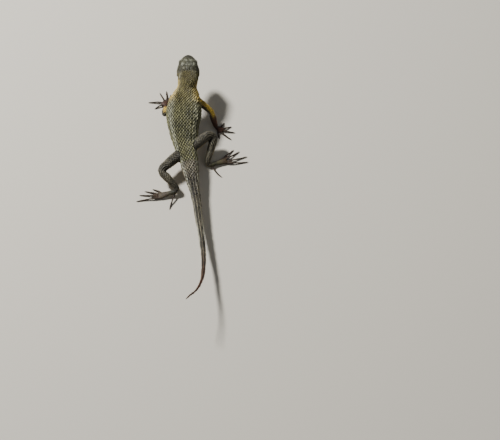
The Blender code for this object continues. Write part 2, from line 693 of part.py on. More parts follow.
def palm_or_sole(name, path, span, sizes, planes, grow=0.0):
    """A hand or foot that rests flat on the floor, behind the given planes."""
    points, along, _ = path
    count = max(3, round((span[1] - span[0]) / FOOT_STEP) + 1)
    places = np.linspace(*span, count)
    middles, ahead, _ = path_frames(points, along, places, (0.0, 0.0, 1.0))
    widths, heights = sizes_along(sizes, span, places)
    rings = []
    for middle, way, width, height in zip(middles, ahead, widths + 2 * grow, heights + 2 * grow):
        up = unit(np.array([0, 0, 1.0]) - way * way[2])
        ring = behind(oval_ring(middle, way, up, width, height, FOOT_SIDES), planes)
        ring[:, 2] = np.maximum(ring[:, 2], -grow)
        rings.append(ring)
    if grow:
        rings = [rings[0] - ahead[0] * grow, *rings, rings[-1] + ahead[-1] * grow]
    return tube(name, rings)


def limb(side, joints, names, sizes, rounds, digits, digit_name, body_span):
    """Two long lengths and a hand or foot on one bent path, and its five digits."""
    path = bent_path(joints, rounds)
    points, along, marks = path
    middles, ahead, _ = path_frames(points, along, marks, (0.0, 0.0, 1.0))
    upper_name, lower_name, palm_name = (f"{name}_{side}" for name in names)
    half = GAP / 2
    ends = [(point - way * half, way) for point, way in zip(middles, ahead)]
    starts = [(point + way * half, -way) for point, way in zip(middles, ahead)]
    upper_span, lower_span = (0.0, marks[1] - half), (marks[1] + half, marks[2] - half)
    palm_span = (marks[2] + half, marks[3])
    upper = limb_length(upper_name, path, upper_span, sizes[0], (0.0, rounds[0]), [ends[1]])
    combine(upper, body_guard(*body_span), "DIFFERENCE")
    lower = limb_length(lower_name, path, lower_span, sizes[1], rounds, [starts[1], ends[2]])
    palm = palm_or_sole(palm_name, path, palm_span, sizes[2], [starts[2]])
    made = [upper, lower, palm]
    for number, (along_share, across, tip, bow) in enumerate(digits, 1):
        name = f"{digit_name}_{side}_{number}"
        digit = digit_solid(name, side, path, palm_span, along_share, across, tip, bow)
        combine(digit, palm_or_sole("palm_guard", path, palm_span, sizes[2], (), GAP), "DIFFERENCE")
        made.append(digit)
    return made


def digit_solid(name, side, path, palm_span, along_share, across, tip, bow):
    """One finger or toe, from a root sunk in the palm to the point of its claw."""
    points, along, _ = path
    place = palm_span[0] + (palm_span[1] - palm_span[0]) * along_share
    middles, ahead, _ = path_frames(points, along, [place], (0.0, 0.0, 1.0))
    flat_ahead = unit([ahead[0][0], ahead[0][1], 0.0])
    outwards = np.array([flat_ahead[1], -flat_ahead[0], 0.0]) * (1 if side == "right" else -1)
    root = middles[0] - outwards * across
    lift = max(0.0, root[2] - DIGIT_ROOT_HEIGHT)
    root[2] = 0.0
    way = np.array([tip[0], tip[1], 0.0]) - root
    root = root - unit(way) * ROOT_SUNK
    way = np.array([tip[0], tip[1], 0.0]) - root
    sideways = unit([way[1], -way[0], 0.0])
    rows = np.array(DIGIT)
    rings = []
    for share in DIGIT_SHARES:
        height, radius = smooth_rows(rows[:, 0], rows[:, 1:], share)[0]
        near = smooth_rows(rows[:, 0], rows[:, 1:2], [share - SHARE_STEP, share + SHARE_STEP])[:, 0]
        slope = (near[1] - near[0]) / (2 * SHARE_STEP)
        middle = root + way * share + sideways * bow * math.sin(math.pi * share)
        middle[2] = height + lift * (1 - share) ** 2
        slope -= 2 * lift * (1 - share)
        heading = unit(way + np.array([0, 0, slope]) + sideways * bow * math.pi * math.cos(math.pi * share))
        up = unit(np.array([0, 0, 1.0]) - heading * heading[2])
        ring = oval_ring(middle, heading, up, 2 * radius, 2 * radius, DIGIT_SIDES)
        ring[:, 2] = np.maximum(ring[:, 2], 0.0)
        rings.append(ring)
    return tube(name, rings)


def limbs():
    made = []
    arm = (("upper_arm", "forearm", "hand"), (UPPER_ARM, FOREARM, HAND), (ARM_BEND, WRIST_BEND))
    for side, joints, fingers in (("left", LEFT_ARM, LEFT_FINGERS), ("right", RIGHT_ARM, RIGHT_FINGERS)):
        made += limb(side, joints, *arm, fingers, "finger", SHOULDER_SPAN)
    leg = (("thigh", "shank", "foot"), (THIGH, SHANK, FOOT), (KNEE_BEND, ANKLE_BEND))
    for side, joints, toes in (("left", LEFT_LEG, LEFT_TOES), ("right", RIGHT_LEG, RIGHT_TOES)):
        made += limb(side, joints, *leg, toes, "toe", HIP_SPAN)
    return made


def look_of(name):
    if name.startswith("eye"):
        return "eye"
    if name.startswith("ear"):
        return "eardrum"
    if name.startswith(("head", "jaw")):
        return "head_scales"
    if name.startswith(("finger", "toe", "hand", "foot")):
        return "digits"
    if name.startswith(("upper_arm", "forearm", "thigh", "shank")):
        return "limb"
    return "back"


def finish(pieces):
    """Turns the shapes to metres about the origin, and gives each its material and the shared parent."""
    looks = {
        "back": BACK,
        "head_scales": HEAD_SCALES,
        "limb": LIMB,
        "digits": DIGITS,
        "eye": EYE,
        "eardrum": EARDRUM,
    }
    materials = {name: material(name, look) for name, look in looks.items()}
    lizard = bpy.data.objects.new("lizard", None)
    bpy.context.scene.collection.objects.link(lizard)
    for piece in pieces:
        piece.data.transform(Matrix.Scale(MM, 4) @ Matrix.Translation(HIPS))
        piece.data.materials.clear()
        piece.data.materials.append(materials[look_of(piece.name)])
        piece.data.shade_flat()
        piece.parent = lizard


def build():
    clear_scene()
    finish(neck_trunk_and_tail() + head_and_jaw() + eyes_and_eardrums() + limbs())


build()
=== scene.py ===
import math
from contextlib import contextmanager

import bmesh
import bpy
import numpy as np
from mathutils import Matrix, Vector
from mathutils.bvhtree import BVHTree
from mathutils.kdtree import KDTree


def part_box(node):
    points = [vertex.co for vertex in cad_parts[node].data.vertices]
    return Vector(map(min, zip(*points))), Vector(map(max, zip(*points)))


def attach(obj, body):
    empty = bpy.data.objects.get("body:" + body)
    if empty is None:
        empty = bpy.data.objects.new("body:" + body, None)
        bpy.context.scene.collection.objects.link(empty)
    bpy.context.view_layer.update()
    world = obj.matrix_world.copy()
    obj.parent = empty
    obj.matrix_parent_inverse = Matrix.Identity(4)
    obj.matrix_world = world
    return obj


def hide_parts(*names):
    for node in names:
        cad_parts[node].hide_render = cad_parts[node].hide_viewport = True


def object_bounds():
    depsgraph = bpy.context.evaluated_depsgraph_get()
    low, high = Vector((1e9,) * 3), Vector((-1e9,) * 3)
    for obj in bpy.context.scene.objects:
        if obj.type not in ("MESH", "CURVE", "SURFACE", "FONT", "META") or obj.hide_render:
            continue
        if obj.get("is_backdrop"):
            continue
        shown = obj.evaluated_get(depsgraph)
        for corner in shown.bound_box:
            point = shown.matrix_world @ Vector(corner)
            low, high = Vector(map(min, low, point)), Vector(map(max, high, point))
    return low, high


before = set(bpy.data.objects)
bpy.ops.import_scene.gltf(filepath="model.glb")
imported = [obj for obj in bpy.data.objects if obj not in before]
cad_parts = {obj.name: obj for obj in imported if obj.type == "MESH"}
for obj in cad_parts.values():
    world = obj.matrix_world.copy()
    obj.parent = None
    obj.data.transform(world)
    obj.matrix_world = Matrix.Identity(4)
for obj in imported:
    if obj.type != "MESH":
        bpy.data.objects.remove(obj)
cad_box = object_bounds()

# Shapes are worked out in millimetres and turned to metres as each piece is made
MM = 0.001
SEED = 12
BOX_LOW, BOX_HIGH = (np.array(corner) / MM for corner in cad_box)
SIDES = ("left", "right")
OUTWARD = {"left": np.array([-1.0, 0, 0]), "right": np.array([1.0, 0, 0])}
SKY = np.array([0, 0, 1.0])
TO_TAIL = np.array([0, -1.0, 0])
DIGITS = range(1, 6)

# Chains of flesh, from the root outwards, that the scales follow in rows
CHAINS = {"trunk": ["neck", "torso", *(f"tail_{number}" for number in range(1, 6))]}
for side in SIDES:
    CHAINS[f"arm_{side}"] = [f"{word}_{side}" for word in ("upper_arm", "forearm", "hand")]
    CHAINS[f"leg_{side}"] = [f"{word}_{side}" for word in ("thigh", "shank", "foot")]
    for number in DIGITS:
        for word in ("finger", "toe"):
            CHAINS[f"{word}_{side}_{number}"] = [f"{word}_{side}_{number}"]
HEAD_NODES = ["head", "jaw"]
FLESH = HEAD_NODES + [name for names in CHAINS.values() for name in names]
CHAIN_OF = {name: chain for chain, names in CHAINS.items() for name in names}

# The skin: how far nodes are grown to close the gaps, its grain, and its depth under the scales
GROW = 0.22
VOXEL = 0.4
DEPTH = {"trunk": 0.26, "arm": 0.2, "leg": 0.22, "finger": 0.06, "toe": 0.06, "head": 0.08}
# Rounds that even it out, the distance from a centre line where they work in full, and their least shares
EVEN_ROUNDS, EVEN_RADIUS, EVEN_LEAST, EVEN_HEAD = 40, 3.5, 0.03, 0.15
# What the rounds take off is given back within these limits, spread out over more rounds
GIVEN_BACK, SPREAD_ROUNDS = (-0.1, 0.4), 60
# How far the neck's scales reach over the head, how much further their line starts, and room round an ear
NAPE, NAPE_LEAD, EAR_ROOM = 3.3, 3.4, 2.3
# Where the head's line ends inside the snout
SNOUT_INSIDE = np.array([0.0, -1.5, -0.3])
# Webs between neighbouring digits: places along them, widest gap that is closed, least and most radius
WEB_AT, WEB_REACH, WEB_RADIUS = (0.5, 1.2, 1.9), 2.1, (0.36, 0.58)
# Slices of a node that give its middle are a third of its length deep, within these limits
SLICE_DEEP = (1.6, 4.0)
# Centre lines: distance between places, points of a tip that count, and rounds of smoothing
LINE_STEP, TIP_POINTS, FIRST_ROUNDS, LAST_ROUNDS, WAY_ROUNDS = 0.5, 8, 3, 6, 4
# Points of two nodes that are this close lie where the nodes meet
TOUCHING = 0.7


def smooth_step(low, high, value):
    f = np.clip((np.asarray(value, float) - low) / (high - low), 0, 1)
    return f * f * (3 - 2 * f)


def band(value, low, full, fade, gone):
    """A share that rises between the first two values and falls between the last two."""
    return smooth_step(low, full, value) * (1 - smooth_step(fade, gone, value))


def unit(v):
    v = np.asarray(v, float)
    return v / np.maximum(np.linalg.norm(v, axis=-1, keepdims=True), 1e-9)


def on_circle(count):
    """Angles of places at even steps round a circle."""
    return [2 * math.pi * k / count for k in range(count)]


def kind_of(chain):
    return chain.split("_")[0]


# Meshes

def mesh_arrays(mesh):
    """Points in millimetres and triangles of a mesh."""
    points = np.empty(len(mesh.vertices) * 3)
    mesh.vertices.foreach_get("co", points)
    mesh.calc_loop_triangles()
    triangles = np.empty(len(mesh.loop_triangles) * 3, int)
    mesh.loop_triangles.foreach_get("vertices", triangles)
    return points.reshape(-1, 3) / MM, triangles.reshape(-1, 3)


def new_object(name, points, faces):
    """An object made from points in millimetres."""
    mesh = bpy.data.meshes.new(name)
    mesh.from_pydata([tuple(p) for p in np.asarray(points) * MM], [], [tuple(f) for f in faces])
    mesh.update()
    made = bpy.data.objects.new(name, mesh)
    bpy.context.scene.collection.objects.link(made)
    return made


@contextmanager
def editing(mesh):
    """A mesh opened for changes, which are written back at the end."""
    shape = bmesh.new()
    shape.from_mesh(mesh)
    yield shape
    shape.to_mesh(mesh)
    shape.free()


def closed_object(name, points, faces):
    """A closed form inside the CAD model's box, with its faces turned outwards."""
    made = new_object(name, np.clip(points, BOX_LOW, BOX_HIGH), faces)
    with editing(made.data) as shape:
        bmesh.ops.recalc_face_normals(shape, faces=shape.faces)
    return made


def finished(piece, finish):
    """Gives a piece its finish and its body."""
    piece.data.materials.clear()
    piece.data.materials.append(finish)
    piece.data.shade_smooth()
    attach(piece, "root")
    return piece


def ring_faces(start, rings, sides):
    """Faces between rings of points that follow one another."""
    starts = [start + ring * sides for ring in range(rings - 1)]
    steps = [(k, (k + 1) % sides) for k in range(sides)]
    return [(a + k, a + after, a + sides + after, a + sides + k) for a in starts for k, after in steps]


def settle(thing):
    """Turns an object with modifiers into a plain mesh."""
    graph = bpy.context.evaluated_depsgraph_get()
    made = bpy.data.meshes.new_from_object(
        thing.evaluated_get(graph), preserve_all_data_layers=True, depsgraph=graph
    )
    thing.modifiers.clear()
    old = thing.data
    thing.data = made
    made.name = thing.name
    bpy.data.meshes.remove(old)
    return thing


def store(mesh, name, kind, values):
    """Keeps a value for each point of a mesh."""
    layer = mesh.attributes.new(name, kind, "POINT")
    field = "value" if kind == "FLOAT" else "vector"
    layer.data.foreach_set(field, np.asarray(values, np.float32).ravel())


def crosses(corners):
    """For each triangle, its outward way with twice its area as length."""
    return np.cross(corners[:, 1] - corners[:, 0], corners[:, 2] - corners[:, 0])


def vertex_normals(points, triangles):
    flat = crosses(points[triangles])
    total = [np.bincount(triangles.ravel(), np.repeat(flat[:, i], 3), len(points)) for i in range(3)]
    return unit(np.stack(total, axis=1))


def point_tree(points):
    """A search tree over points."""
    tree = KDTree(len(points))
    for i, p in enumerate(points):
        tree.insert(p, i)
    tree.balance()
    return tree


class Surface:
    """A closed surface of triangles that can be searched, with smooth normals."""

    def __init__(self, points, triangles):
        self.points, self.triangles = points, triangles
        self.normals = vertex_normals(points, triangles)
        self.tree = BVHTree.FromPolygons(points.tolist(), triangles.tolist())

    def normal_at(self, index, place):
        a, b, c = self.points[self.triangles[index]]
        place = np.array(place)
        whole = np.cross(b - a, c - a)
        size = whole @ whole + 1e-12
        v = np.clip(np.cross(place - a, c - a) @ whole / size, 0, 1)
        w = np.clip(np.cross(b - a, place - a) @ whole / size, 0, 1)
        shares = np.array([max(0.0, 1 - v - w), v, w])
        return unit(shares @ self.normals[self.triangles[index]])

    def nearest(self, place):
        """The surface's nearest place and its outward way."""
        hit, _, index, _ = self.tree.find_nearest(tuple(place))
        return np.array(hit), self.normal_at(index, hit)

    def cast(self, start, way):
        """Where a ray meets the surface: place, outward way, triangle and distance, or None."""
        hit, _, index, distance = self.tree.ray_cast(tuple(start), tuple(way))
        if hit is None:
            return None
        return np.array(hit), self.normal_at(index, hit), index, distance


# The frame's nodes, merged, in millimetres

def node_arrays(name):
    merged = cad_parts[name].data.copy()
    with editing(merged) as shape:
        bmesh.ops.remove_doubles(shape, verts=shape.verts, dist=2e-6)
    arrays = mesh_arrays(merged)
    bpy.data.meshes.remove(merged)
    return arrays


NODES = {name: node_arrays(name) for name in FLESH}


def middle_of(name):
    low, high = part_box(name)
    return (np.array(low) + np.array(high)) / 2 / MM


# Centre lines

def near_points(points, others):
    """The points that lie close to another node."""
    tree = point_tree(others)
    return np.array([p for p in points if tree.find(p)[2] < TOUCHING])


def relaxed(line, rounds):
    """A line with each place drawn towards its neighbours, its ends kept."""
    for _ in range(rounds):
        line[1:-1] = line[1:-1] * 0.5 + (line[:-2] + line[2:]) * 0.25
    return line


def lengths_along(line):
    return np.concatenate([[0], np.cumsum(np.linalg.norm(np.diff(line, axis=0), axis=1))])


def at_lengths(places, lengths, table):
    """The rows of a table at places along a line."""
    return np.stack([np.interp(places, lengths, column) for column in table.T], axis=-1)


class Line:
    """A smooth line down the middle of a chain of nodes, with its length and its frame at each place."""

    def __init__(self, names, before):
        line = []
        for i, name in enumerate(names):
            points, triangles = NODES[name]
            start = near_points(points, NODES[before][0]).mean(axis=0)
            if i + 1 < len(names):
                end = near_points(points, NODES[names[i + 1]][0]).mean(axis=0)
            else:
                far = points[np.argsort(-np.linalg.norm(points - start, axis=1))[:TIP_POINTS]]
                end = far.mean(axis=0)
            line += self.middles(points[triangles], start, end)
            before = name
        line.append(end)
        self.points = self.smoothed(np.array(line))
        self.measure()

    def middles(self, corners, start, end):
        """Middles of slices of a node between its two ends."""
        centres = corners.mean(axis=1)
        areas = np.linalg.norm(crosses(corners), axis=1)
        chord = np.linalg.norm(end - start)
        along = (centres - start) @ unit(end - start)
        deep = max(SLICE_DEEP[0], min(SLICE_DEEP[1], chord / 3))
        found = [start]
        for place in np.arange(deep / 2, chord - deep / 4, deep / 2)[:-1]:
            weight = areas * np.clip(1 - np.abs(along - place) / deep, 0, 1)
            if weight.sum() > 0:
                found.append((centres * weight[:, None]).sum(axis=0) / weight.sum())
        return found

    def smoothed(self, line):
        line = relaxed(line, FIRST_ROUNDS)
        steps = lengths_along(line)
        places = np.linspace(0, steps[-1], max(4, round(steps[-1] / LINE_STEP)))
        return relaxed(at_lengths(places, steps, line), LAST_ROUNDS)

    def extended(self, before):
        """Adds a straight stretch ahead of the line's start."""
        way = unit(self.points[0] - self.points[4])
        extra = [self.points[0] + way * d for d in np.arange(before, 0, -LINE_STEP)]
        self.points = np.vstack([extra, self.points])
        self.measure()

    def measure(self):
        self.lengths = lengths_along(self.points)
        self.length = self.lengths[-1]
        ahead = unit(np.gradient(self.points, self.lengths, axis=0))
        for _ in range(WAY_ROUNDS):
            ahead[1:-1] = unit(ahead[:-2] + 2 * ahead[1:-1] + ahead[2:])
        self.back = ahead
        self.right = unit(np.cross(-ahead, SKY))
        self.up = np.cross(self.right, -ahead)
        self.tree = point_tree(self.points)

    def at(self, s):
        """Middle, way back, right and up at a length along the line."""
        middle = at_lengths(s, self.lengths, self.points)
        ways = [unit(at_lengths(s, self.lengths, table)) for table in (self.back, self.right, self.up)]
        return (middle, *ways)

    def place(self, point):
        """A point's length along the line, and its turn from the back's middle to the belly's, -1 to 1."""
        _, i, _ = self.tree.find(tuple(point))
        offset = point - self.points[i]
        s = self.lengths[i] + offset @ self.back[i]
        turn = math.atan2(offset @ self.right[i], offset @ self.up[i]) / math.pi
        return s, turn

    def reach(self, point):
        """Distance of a point from the line."""
        return self.tree.find(tuple(point))[2]


class StraightLine(Line):
    """A line straight from one place to another."""

    def __init__(self, start, end):
        self.points = np.linspace(start, end, 40)
        self.measure()


def node_before(chain, first):
    """The node that a chain grows from."""
    kind, side = (chain.split("_") + [""])[:2]
    if kind == "leg":
        touching = near_points(NODES[first][0], NODES["torso"][0])
        return "torso" if len(touching) > 3 else "tail_1"
    return {"trunk": "head", "arm": "torso", "finger": f"hand_{side}", "toe": f"foot_{side}"}[kind]


HEAD_BACK = near_points(NODES["head"][0], NODES["neck"][0]).mean(axis=0)
HEAD_TIP = NODES["head"][0][np.argmax(NODES["head"][0][:, 1])]
LINES = {chain: Line(names, node_before(chain, names[0])) for chain, names in CHAINS.items()}
LINES["trunk"].extended(NAPE + NAPE_LEAD)
LINES["head"] = StraightLine(HEAD_BACK, HEAD_TIP + SNOUT_INSIDE)
HEAD_LINE = LINES["head"]


# The skin

def joined(shapes):
    """Points and triangles of several shapes as one."""
    points, triangles, count = [], [], 0
    for p, t in shapes:
        points.append(p)
        triangles.append(t + count)
        count += len(p)
    return np.vstack(points), np.vstack(triangles)


def edge_pairs(triangles):
    pairs = np.vstack([triangles[:, [0, 1]], triangles[:, [1, 2]], triangles[:, [2, 0]]])
    return np.unique(np.sort(pairs, axis=1), axis=0)


def mean_of_neighbours(values, pairs):
    """For each point, the mean of a table's rows over the points that share an edge with it."""
    a, b = pairs[:, 0], pairs[:, 1]
    count = np.bincount(pairs.ravel(), minlength=len(values))
    columns = [
        np.bincount(a, column[b], len(values)) + np.bincount(b, column[a], len(values))
        for column in values.T
    ]
    return np.stack(columns, axis=1) / count[:, None]


def places_on_lines(points, labels):
    """Length along its chain, turn from the back's middle and distance from the line, for each point."""
    rows = [(*LINES[label].place(p), LINES[label].reach(p)) for p, label in zip(points, labels)]
    return np.array(rows)


def label_of(points):
    """The chain that each point belongs to, or the head."""
    tree = BVHTree.FromPolygons(*(table.tolist() for table in joined(NODES[name] for name in FLESH)))
    owners = [name for name in FLESH for _ in NODES[name][1]]
    ears = [middle_of(f"ear_{side}") for side in SIDES]
    labels = []
    for p in points:
        name = owners[tree.find_nearest(tuple(p))[2]]
        off_ear = min(np.linalg.norm(p - ear) for ear in ears)
        if name in HEAD_NODES and p[1] < HEAD_BACK[1] + NAPE and off_ear > EAR_ROOM:
            name = "neck"
        labels.append(CHAIN_OF.get(name, "head"))
    return np.array(labels)


def ball(centre, radius):
    """Points and triangles of a small ball."""
    shape = bmesh.new()
    bmesh.ops.create_icosphere(shape, subdivisions=2, radius=radius)
    points = np.array([v.co for v in shape.verts]) + centre
    triangles = np.array([[v.index for v in f.verts] for f in shape.faces])
    shape.free()
    return points, triangles


def webs():
    """Balls between the roots of neighbouring fingers and toes, so that no pinhole is left there."""
    for side in SIDES:
        for word in ("finger", "toe"):
            for number in DIGITS[:-1]:
                for along in WEB_AT:
                    a = LINES[f"{word}_{side}_{number}"].at(along)[0]
                    b = LINES[f"{word}_{side}_{number + 1}"].at(along)[0]
                    gap = np.linalg.norm(a - b)
                    if gap < WEB_REACH:
                        yield ball((a + b) / 2, float(np.clip(gap / 2, *WEB_RADIUS)))


def grown_flesh():
    """All nodes of flesh, grown so that they overlap and the gaps between them close."""
    grown = [(NODES[name][0] + vertex_normals(*NODES[name]) * GROW, NODES[name][1]) for name in FLESH]
    return new_object("skin", *joined((*grown, *webs())))


def refine_head(thing, labels):
    """Halves the skin's grain over the head."""
    with editing(thing.data) as shape:
        shape.verts.ensure_lookup_table()
        chosen = [e for e in shape.edges if all(labels[v.index] == "head" for v in e.verts)]
        bmesh.ops.subdivide_edges(shape, edges=chosen, cuts=1, use_grid_fill=True)
        bmesh.ops.triangulate(shape, faces=[f for f in shape.faces if len(f.verts) > 4])


def make_skin():
    """The skin's object, points, triangles, chain of each point, and places on the chains."""
    thing = grown_flesh()
    step = thing.modifiers.new("one skin", "REMESH")
    step.mode = "VOXEL"
    step.voxel_size = VOXEL * MM
    settle(thing)
    refine_head(thing, label_of(mesh_arrays(thing.data)[0]))
    points, triangles = mesh_arrays(thing.data)
    labels = label_of(points)
    kinds = np.array([kind_of(label) for label in labels])
    pairs = edge_pairs(triangles)
    before = places_on_lines(points, labels)
    amount = np.clip((before[:, 2] / EVEN_RADIUS) ** 2, EVEN_LEAST, 1)
    amount[kinds == "head"] = EVEN_HEAD
    for _ in range(EVEN_ROUNDS):
        points = points + (mean_of_neighbours(points, pairs) - points) * 0.5 * amount[:, None]
    places = places_on_lines(points, labels)
    lost = before[:, 2] - places[:, 2]
    lost[kinds == "head"] = 0
    offset = (np.clip(lost, *GIVEN_BACK) - GROW - np.array([DEPTH[kind] for kind in kinds]))[:, None]
    for _ in range(SPREAD_ROUNDS):
        offset = offset * 0.5 + mean_of_neighbours(offset, pairs) * 0.5
    points = points + vertex_normals(points, triangles) * offset
    return thing, points, triangles, labels, places


skin, skin_points, skin_triangles, skin_labels, skin_places = make_skin()
surface = Surface(skin_points, skin_triangles)
face_label = skin_labels[skin_triangles[:, 0]]
EYES = {side: middle_of(f"eye_{side}") for side in SIDES}
EARS = {side: middle_of(f"ear_{side}") for side in SIDES}
BROW = (EYES["left"] + EYES["right"]) / 2


# Markings, the same on the skin and on the scales: each is a share from 0 to 1 at a place

MARKS = ("under", "bar", "fleck", "gold", "rust", "blue")
# Trunk: lengths along it in millimetres, and turns from the back's middle (0) to the belly's (1)
BELLY_TURN = (0.56, 0.74)
BAR_SPACING, BAR_SLANT, BAR_SHARE, BAR_TURNS = 6.4, 1.3, 0.22, (0.02, 0.1, 0.3, 0.5)
NAPE_LINES, NAPE_LINE_SHARE, NAPE_LINE_END, NAPE_LINE_TURN = 9, 0.9, (12, 20), (0.4, 0.5)
PALE_LINE, PALE_LINE_WIDE, PALE_LINE_SHARE = 0.36, 0.05, 0.2
COLLAR_SHARE, COLLAR_AT, COLLAR_TURN = 0.42, (4, 9, 18, 24), (0.2, 0.42)
TAN_SHARE, TAN_END = 0.07, (14, 30)
TAIL_RUST = (122.0, 165.0)
BLUE_TURNS, BLUE_AT = (0.56, 0.62, 0.86, 0.95), (16, 20, 38, 44)
# Spots on the crown: millimetres ahead of the eyes, out from the middle, and size
PALE_SPOTS = ((-2.5, 0.7, 0.8), (-2.5, 3.6, 0.9), (0.7, 1.5, 0.9), (1.4, 4.8, 0.75))
DARK_SPOTS = ((-2.5, 2.1, 0.7), (0.9, 0.0, 0.5), (2.6, 2.8, 0.8))
PALE_SPOT_SHARE, SNOUT_SHARE, EYE_LINE_SHARE = 0.62, 0.9, 0.2
# Where the crown, the dark snout and the line behind the eye lie: millimetres above and ahead of the eyes
CROWN_ABOVE, SNOUT_AHEAD, SNOUT_ABOVE = (-0.5, 0.8), (2.0, 4.5), (-1.5, 0.5)
EYE_LINE_ABOVE, EYE_LINE_WIDE, EYE_LINE_AHEAD = -0.6, 0.9, (-3.0, -1.5)
# The pale chin starts under the mouth, and the blue throat ends ahead of the eyes, off the middle
CHIN_TURN, CHIN_BELOW = (0.66, 0.78), (4.4, 5.4)
THROAT_TURN, THROAT_AHEAD, THROAT_OUT = (0.74, 0.82), (-1, 2), (0.6, 1.6)
# Limbs: turns of the pale underside, and where the gold and the rust begin and end
ARM_BELLY, ARM_GOLD_TURN, ARM_GOLD_END, ARM_RUST = (0.58, 0.84), (-0.3, -0.05), (14, 18), (13, 17)
LEG_BELLY, LEG_GOLD_TURN, LEG_GOLD_SHARE, LEG_RUST = (0.6, 0.86), (0.45, 0.7), 0.35, (30, 36)
LEG_BAR_SPACING, LEG_BAR_SHARE, LEG_BAR_END, LEG_RUST_SHARE = 6.0, 0.5, (0.3, 0.6), 0.5
DIGIT_BELLY, DIGIT_PALE, DIGIT_RUST = (0.6, 0.9), 0.4, 0.7
# How sharply each kind of line stands out, from the wave that it follows
BAR_EDGE, NAPE_EDGE, LEG_BAR_EDGE = (0.3, 0.9), (0.0, 0.9), (0.2, 0.9)


def trunk_marks(s, turn, point):
    """Slanted bars, nape lines, a pale line on each side, a gold collar and blue belly patches."""
    around = abs(turn)
    wave = math.cos(2 * math.pi * (s / BAR_SPACING + BAR_SLANT * around))
    bars = BAR_SHARE * band(around, *BAR_TURNS) * smooth_step(*BAR_EDGE, wave)
    nape = (1 - smooth_step(*NAPE_LINE_END, s)) * (1 - smooth_step(*NAPE_LINE_TURN, around))
    lines = smooth_step(*NAPE_EDGE, math.cos(2 * math.pi * around * NAPE_LINES))
    collar = COLLAR_SHARE * band(s, *COLLAR_AT) * smooth_step(*COLLAR_TURN, around)
    return {
        "under": smooth_step(*BELLY_TURN, around),
        "bar": max(bars, NAPE_LINE_SHARE * nape * lines),
        "fleck": PALE_LINE_SHARE * math.exp(-(((around - PALE_LINE) / PALE_LINE_WIDE) ** 2)),
        "gold": max(collar, TAN_SHARE * (1 - smooth_step(*TAN_END, s))),
        "rust": smooth_step(*TAIL_RUST, s),
        "blue": band(around, *BLUE_TURNS) * band(s, *BLUE_AT),
    }


def spots(ahead, out, rows):
    """How far a place lies in any of the round spots."""
    far = [((ahead - row[0]) ** 2 + (out - row[1]) ** 2) / row[2] ** 2 for row in rows]
    return min(1.0, sum(math.exp(-f) for f in far))


def head_marks(s, turn, point):
    """Spots on the crown, a dark snout, a dark line behind the eye and a blue throat."""
    around = abs(turn)
    out, ahead, above = point - BROW
    out = abs(out)
    crown = smooth_step(*CROWN_ABOVE, above)
    snout = SNOUT_SHARE * smooth_step(*SNOUT_AHEAD, ahead) * smooth_step(*SNOUT_ABOVE, above)
    eye_line = math.exp(-(((above - EYE_LINE_ABOVE) / EYE_LINE_WIDE) ** 2))
    eye_line *= 1 - smooth_step(*EYE_LINE_AHEAD, ahead)
    throat_patch = smooth_step(*THROAT_TURN, around) * smooth_step(*THROAT_OUT, out)
    return {
        "under": smooth_step(*CHIN_TURN, around) * smooth_step(*CHIN_BELOW, -above),
        "bar": max(crown * spots(ahead, out, DARK_SPOTS), EYE_LINE_SHARE * eye_line, snout),
        "fleck": PALE_SPOT_SHARE * crown * spots(ahead, out, PALE_SPOTS),
        "blue": throat_patch * (1 - smooth_step(*THROAT_AHEAD, ahead)),
    }


def arm_marks(s, turn, point):
    """Gold behind the arm, down to a rusty hand."""
    rear = turn if point[0] > BROW[0] else -turn
    return {
        "under": smooth_step(*ARM_BELLY, abs(turn)),
        "gold": smooth_step(*ARM_GOLD_TURN, rear) * (1 - smooth_step(*ARM_GOLD_END, s)),
        "rust": smooth_step(*ARM_RUST, s),
    }


def leg_marks(s, turn, point):
    """Bars across the leg, gold underneath, down to a rusty foot."""
    around = abs(turn)
    wave = math.cos(2 * math.pi * s / LEG_BAR_SPACING)
    return {
        "under": smooth_step(*LEG_BELLY, around),
        "bar": LEG_BAR_SHARE * smooth_step(*LEG_BAR_EDGE, wave) * (1 - smooth_step(*LEG_BAR_END, around)),
        "gold": LEG_GOLD_SHARE * smooth_step(*LEG_GOLD_TURN, around),
        "rust": LEG_RUST_SHARE * smooth_step(*LEG_RUST, s),
    }


def digit_marks(s, turn, point):
    """Rust all over, paler underneath."""
    return {"under": DIGIT_PALE * smooth_step(*DIGIT_BELLY, abs(turn)), "rust": DIGIT_RUST}


MARKS_OF = {"trunk": trunk_marks, "head": head_marks, "arm": arm_marks, "leg": leg_marks}


def marks(chain, s, turn, point):
    """The markings at a length s along a chain and a turn from the middle of the back."""
    found = MARKS_OF.get(kind_of(chain), digit_marks)(s, turn, point)
    return dict.fromkeys(MARKS, 0.0) | found


# Scales in rows along the chains

class Roots:
    """The places where scales of one kind grow, with what each needs."""

    def __init__(self):
        self.rows = {name: [] for name in ("point", "out", "lie", "size", "patch", "tone", *MARKS)}
        self.rng = np.random.default_rng(SEED)

    def add(self, point, out, lie, size, chain, s, turn):
        values = marks(chain, s, turn, point)
        values |= {"point": point, "out": out, "lie": lie, "size": size}
        values |= {"patch": patch_place(chain, s, turn), "tone": self.rng.uniform(-1, 1)}
        for name, value in values.items():
            self.rows[name].append(value)

    def object(self, name):
        """An object of bare points that carry the values."""
        rows = {key: np.array(value) for key, value in self.rows.items()}
        made = new_object(name, rows["point"], [])
        rows["size"] = rows["size"] * MM
        for key in ("out", "lie", "size", "patch"):
            store(made.data, key, "FLOAT_VECTOR", rows[key])
        for key in ("tone", *MARKS):
            store(made.data, key, "FLOAT", rows[key])
        return made


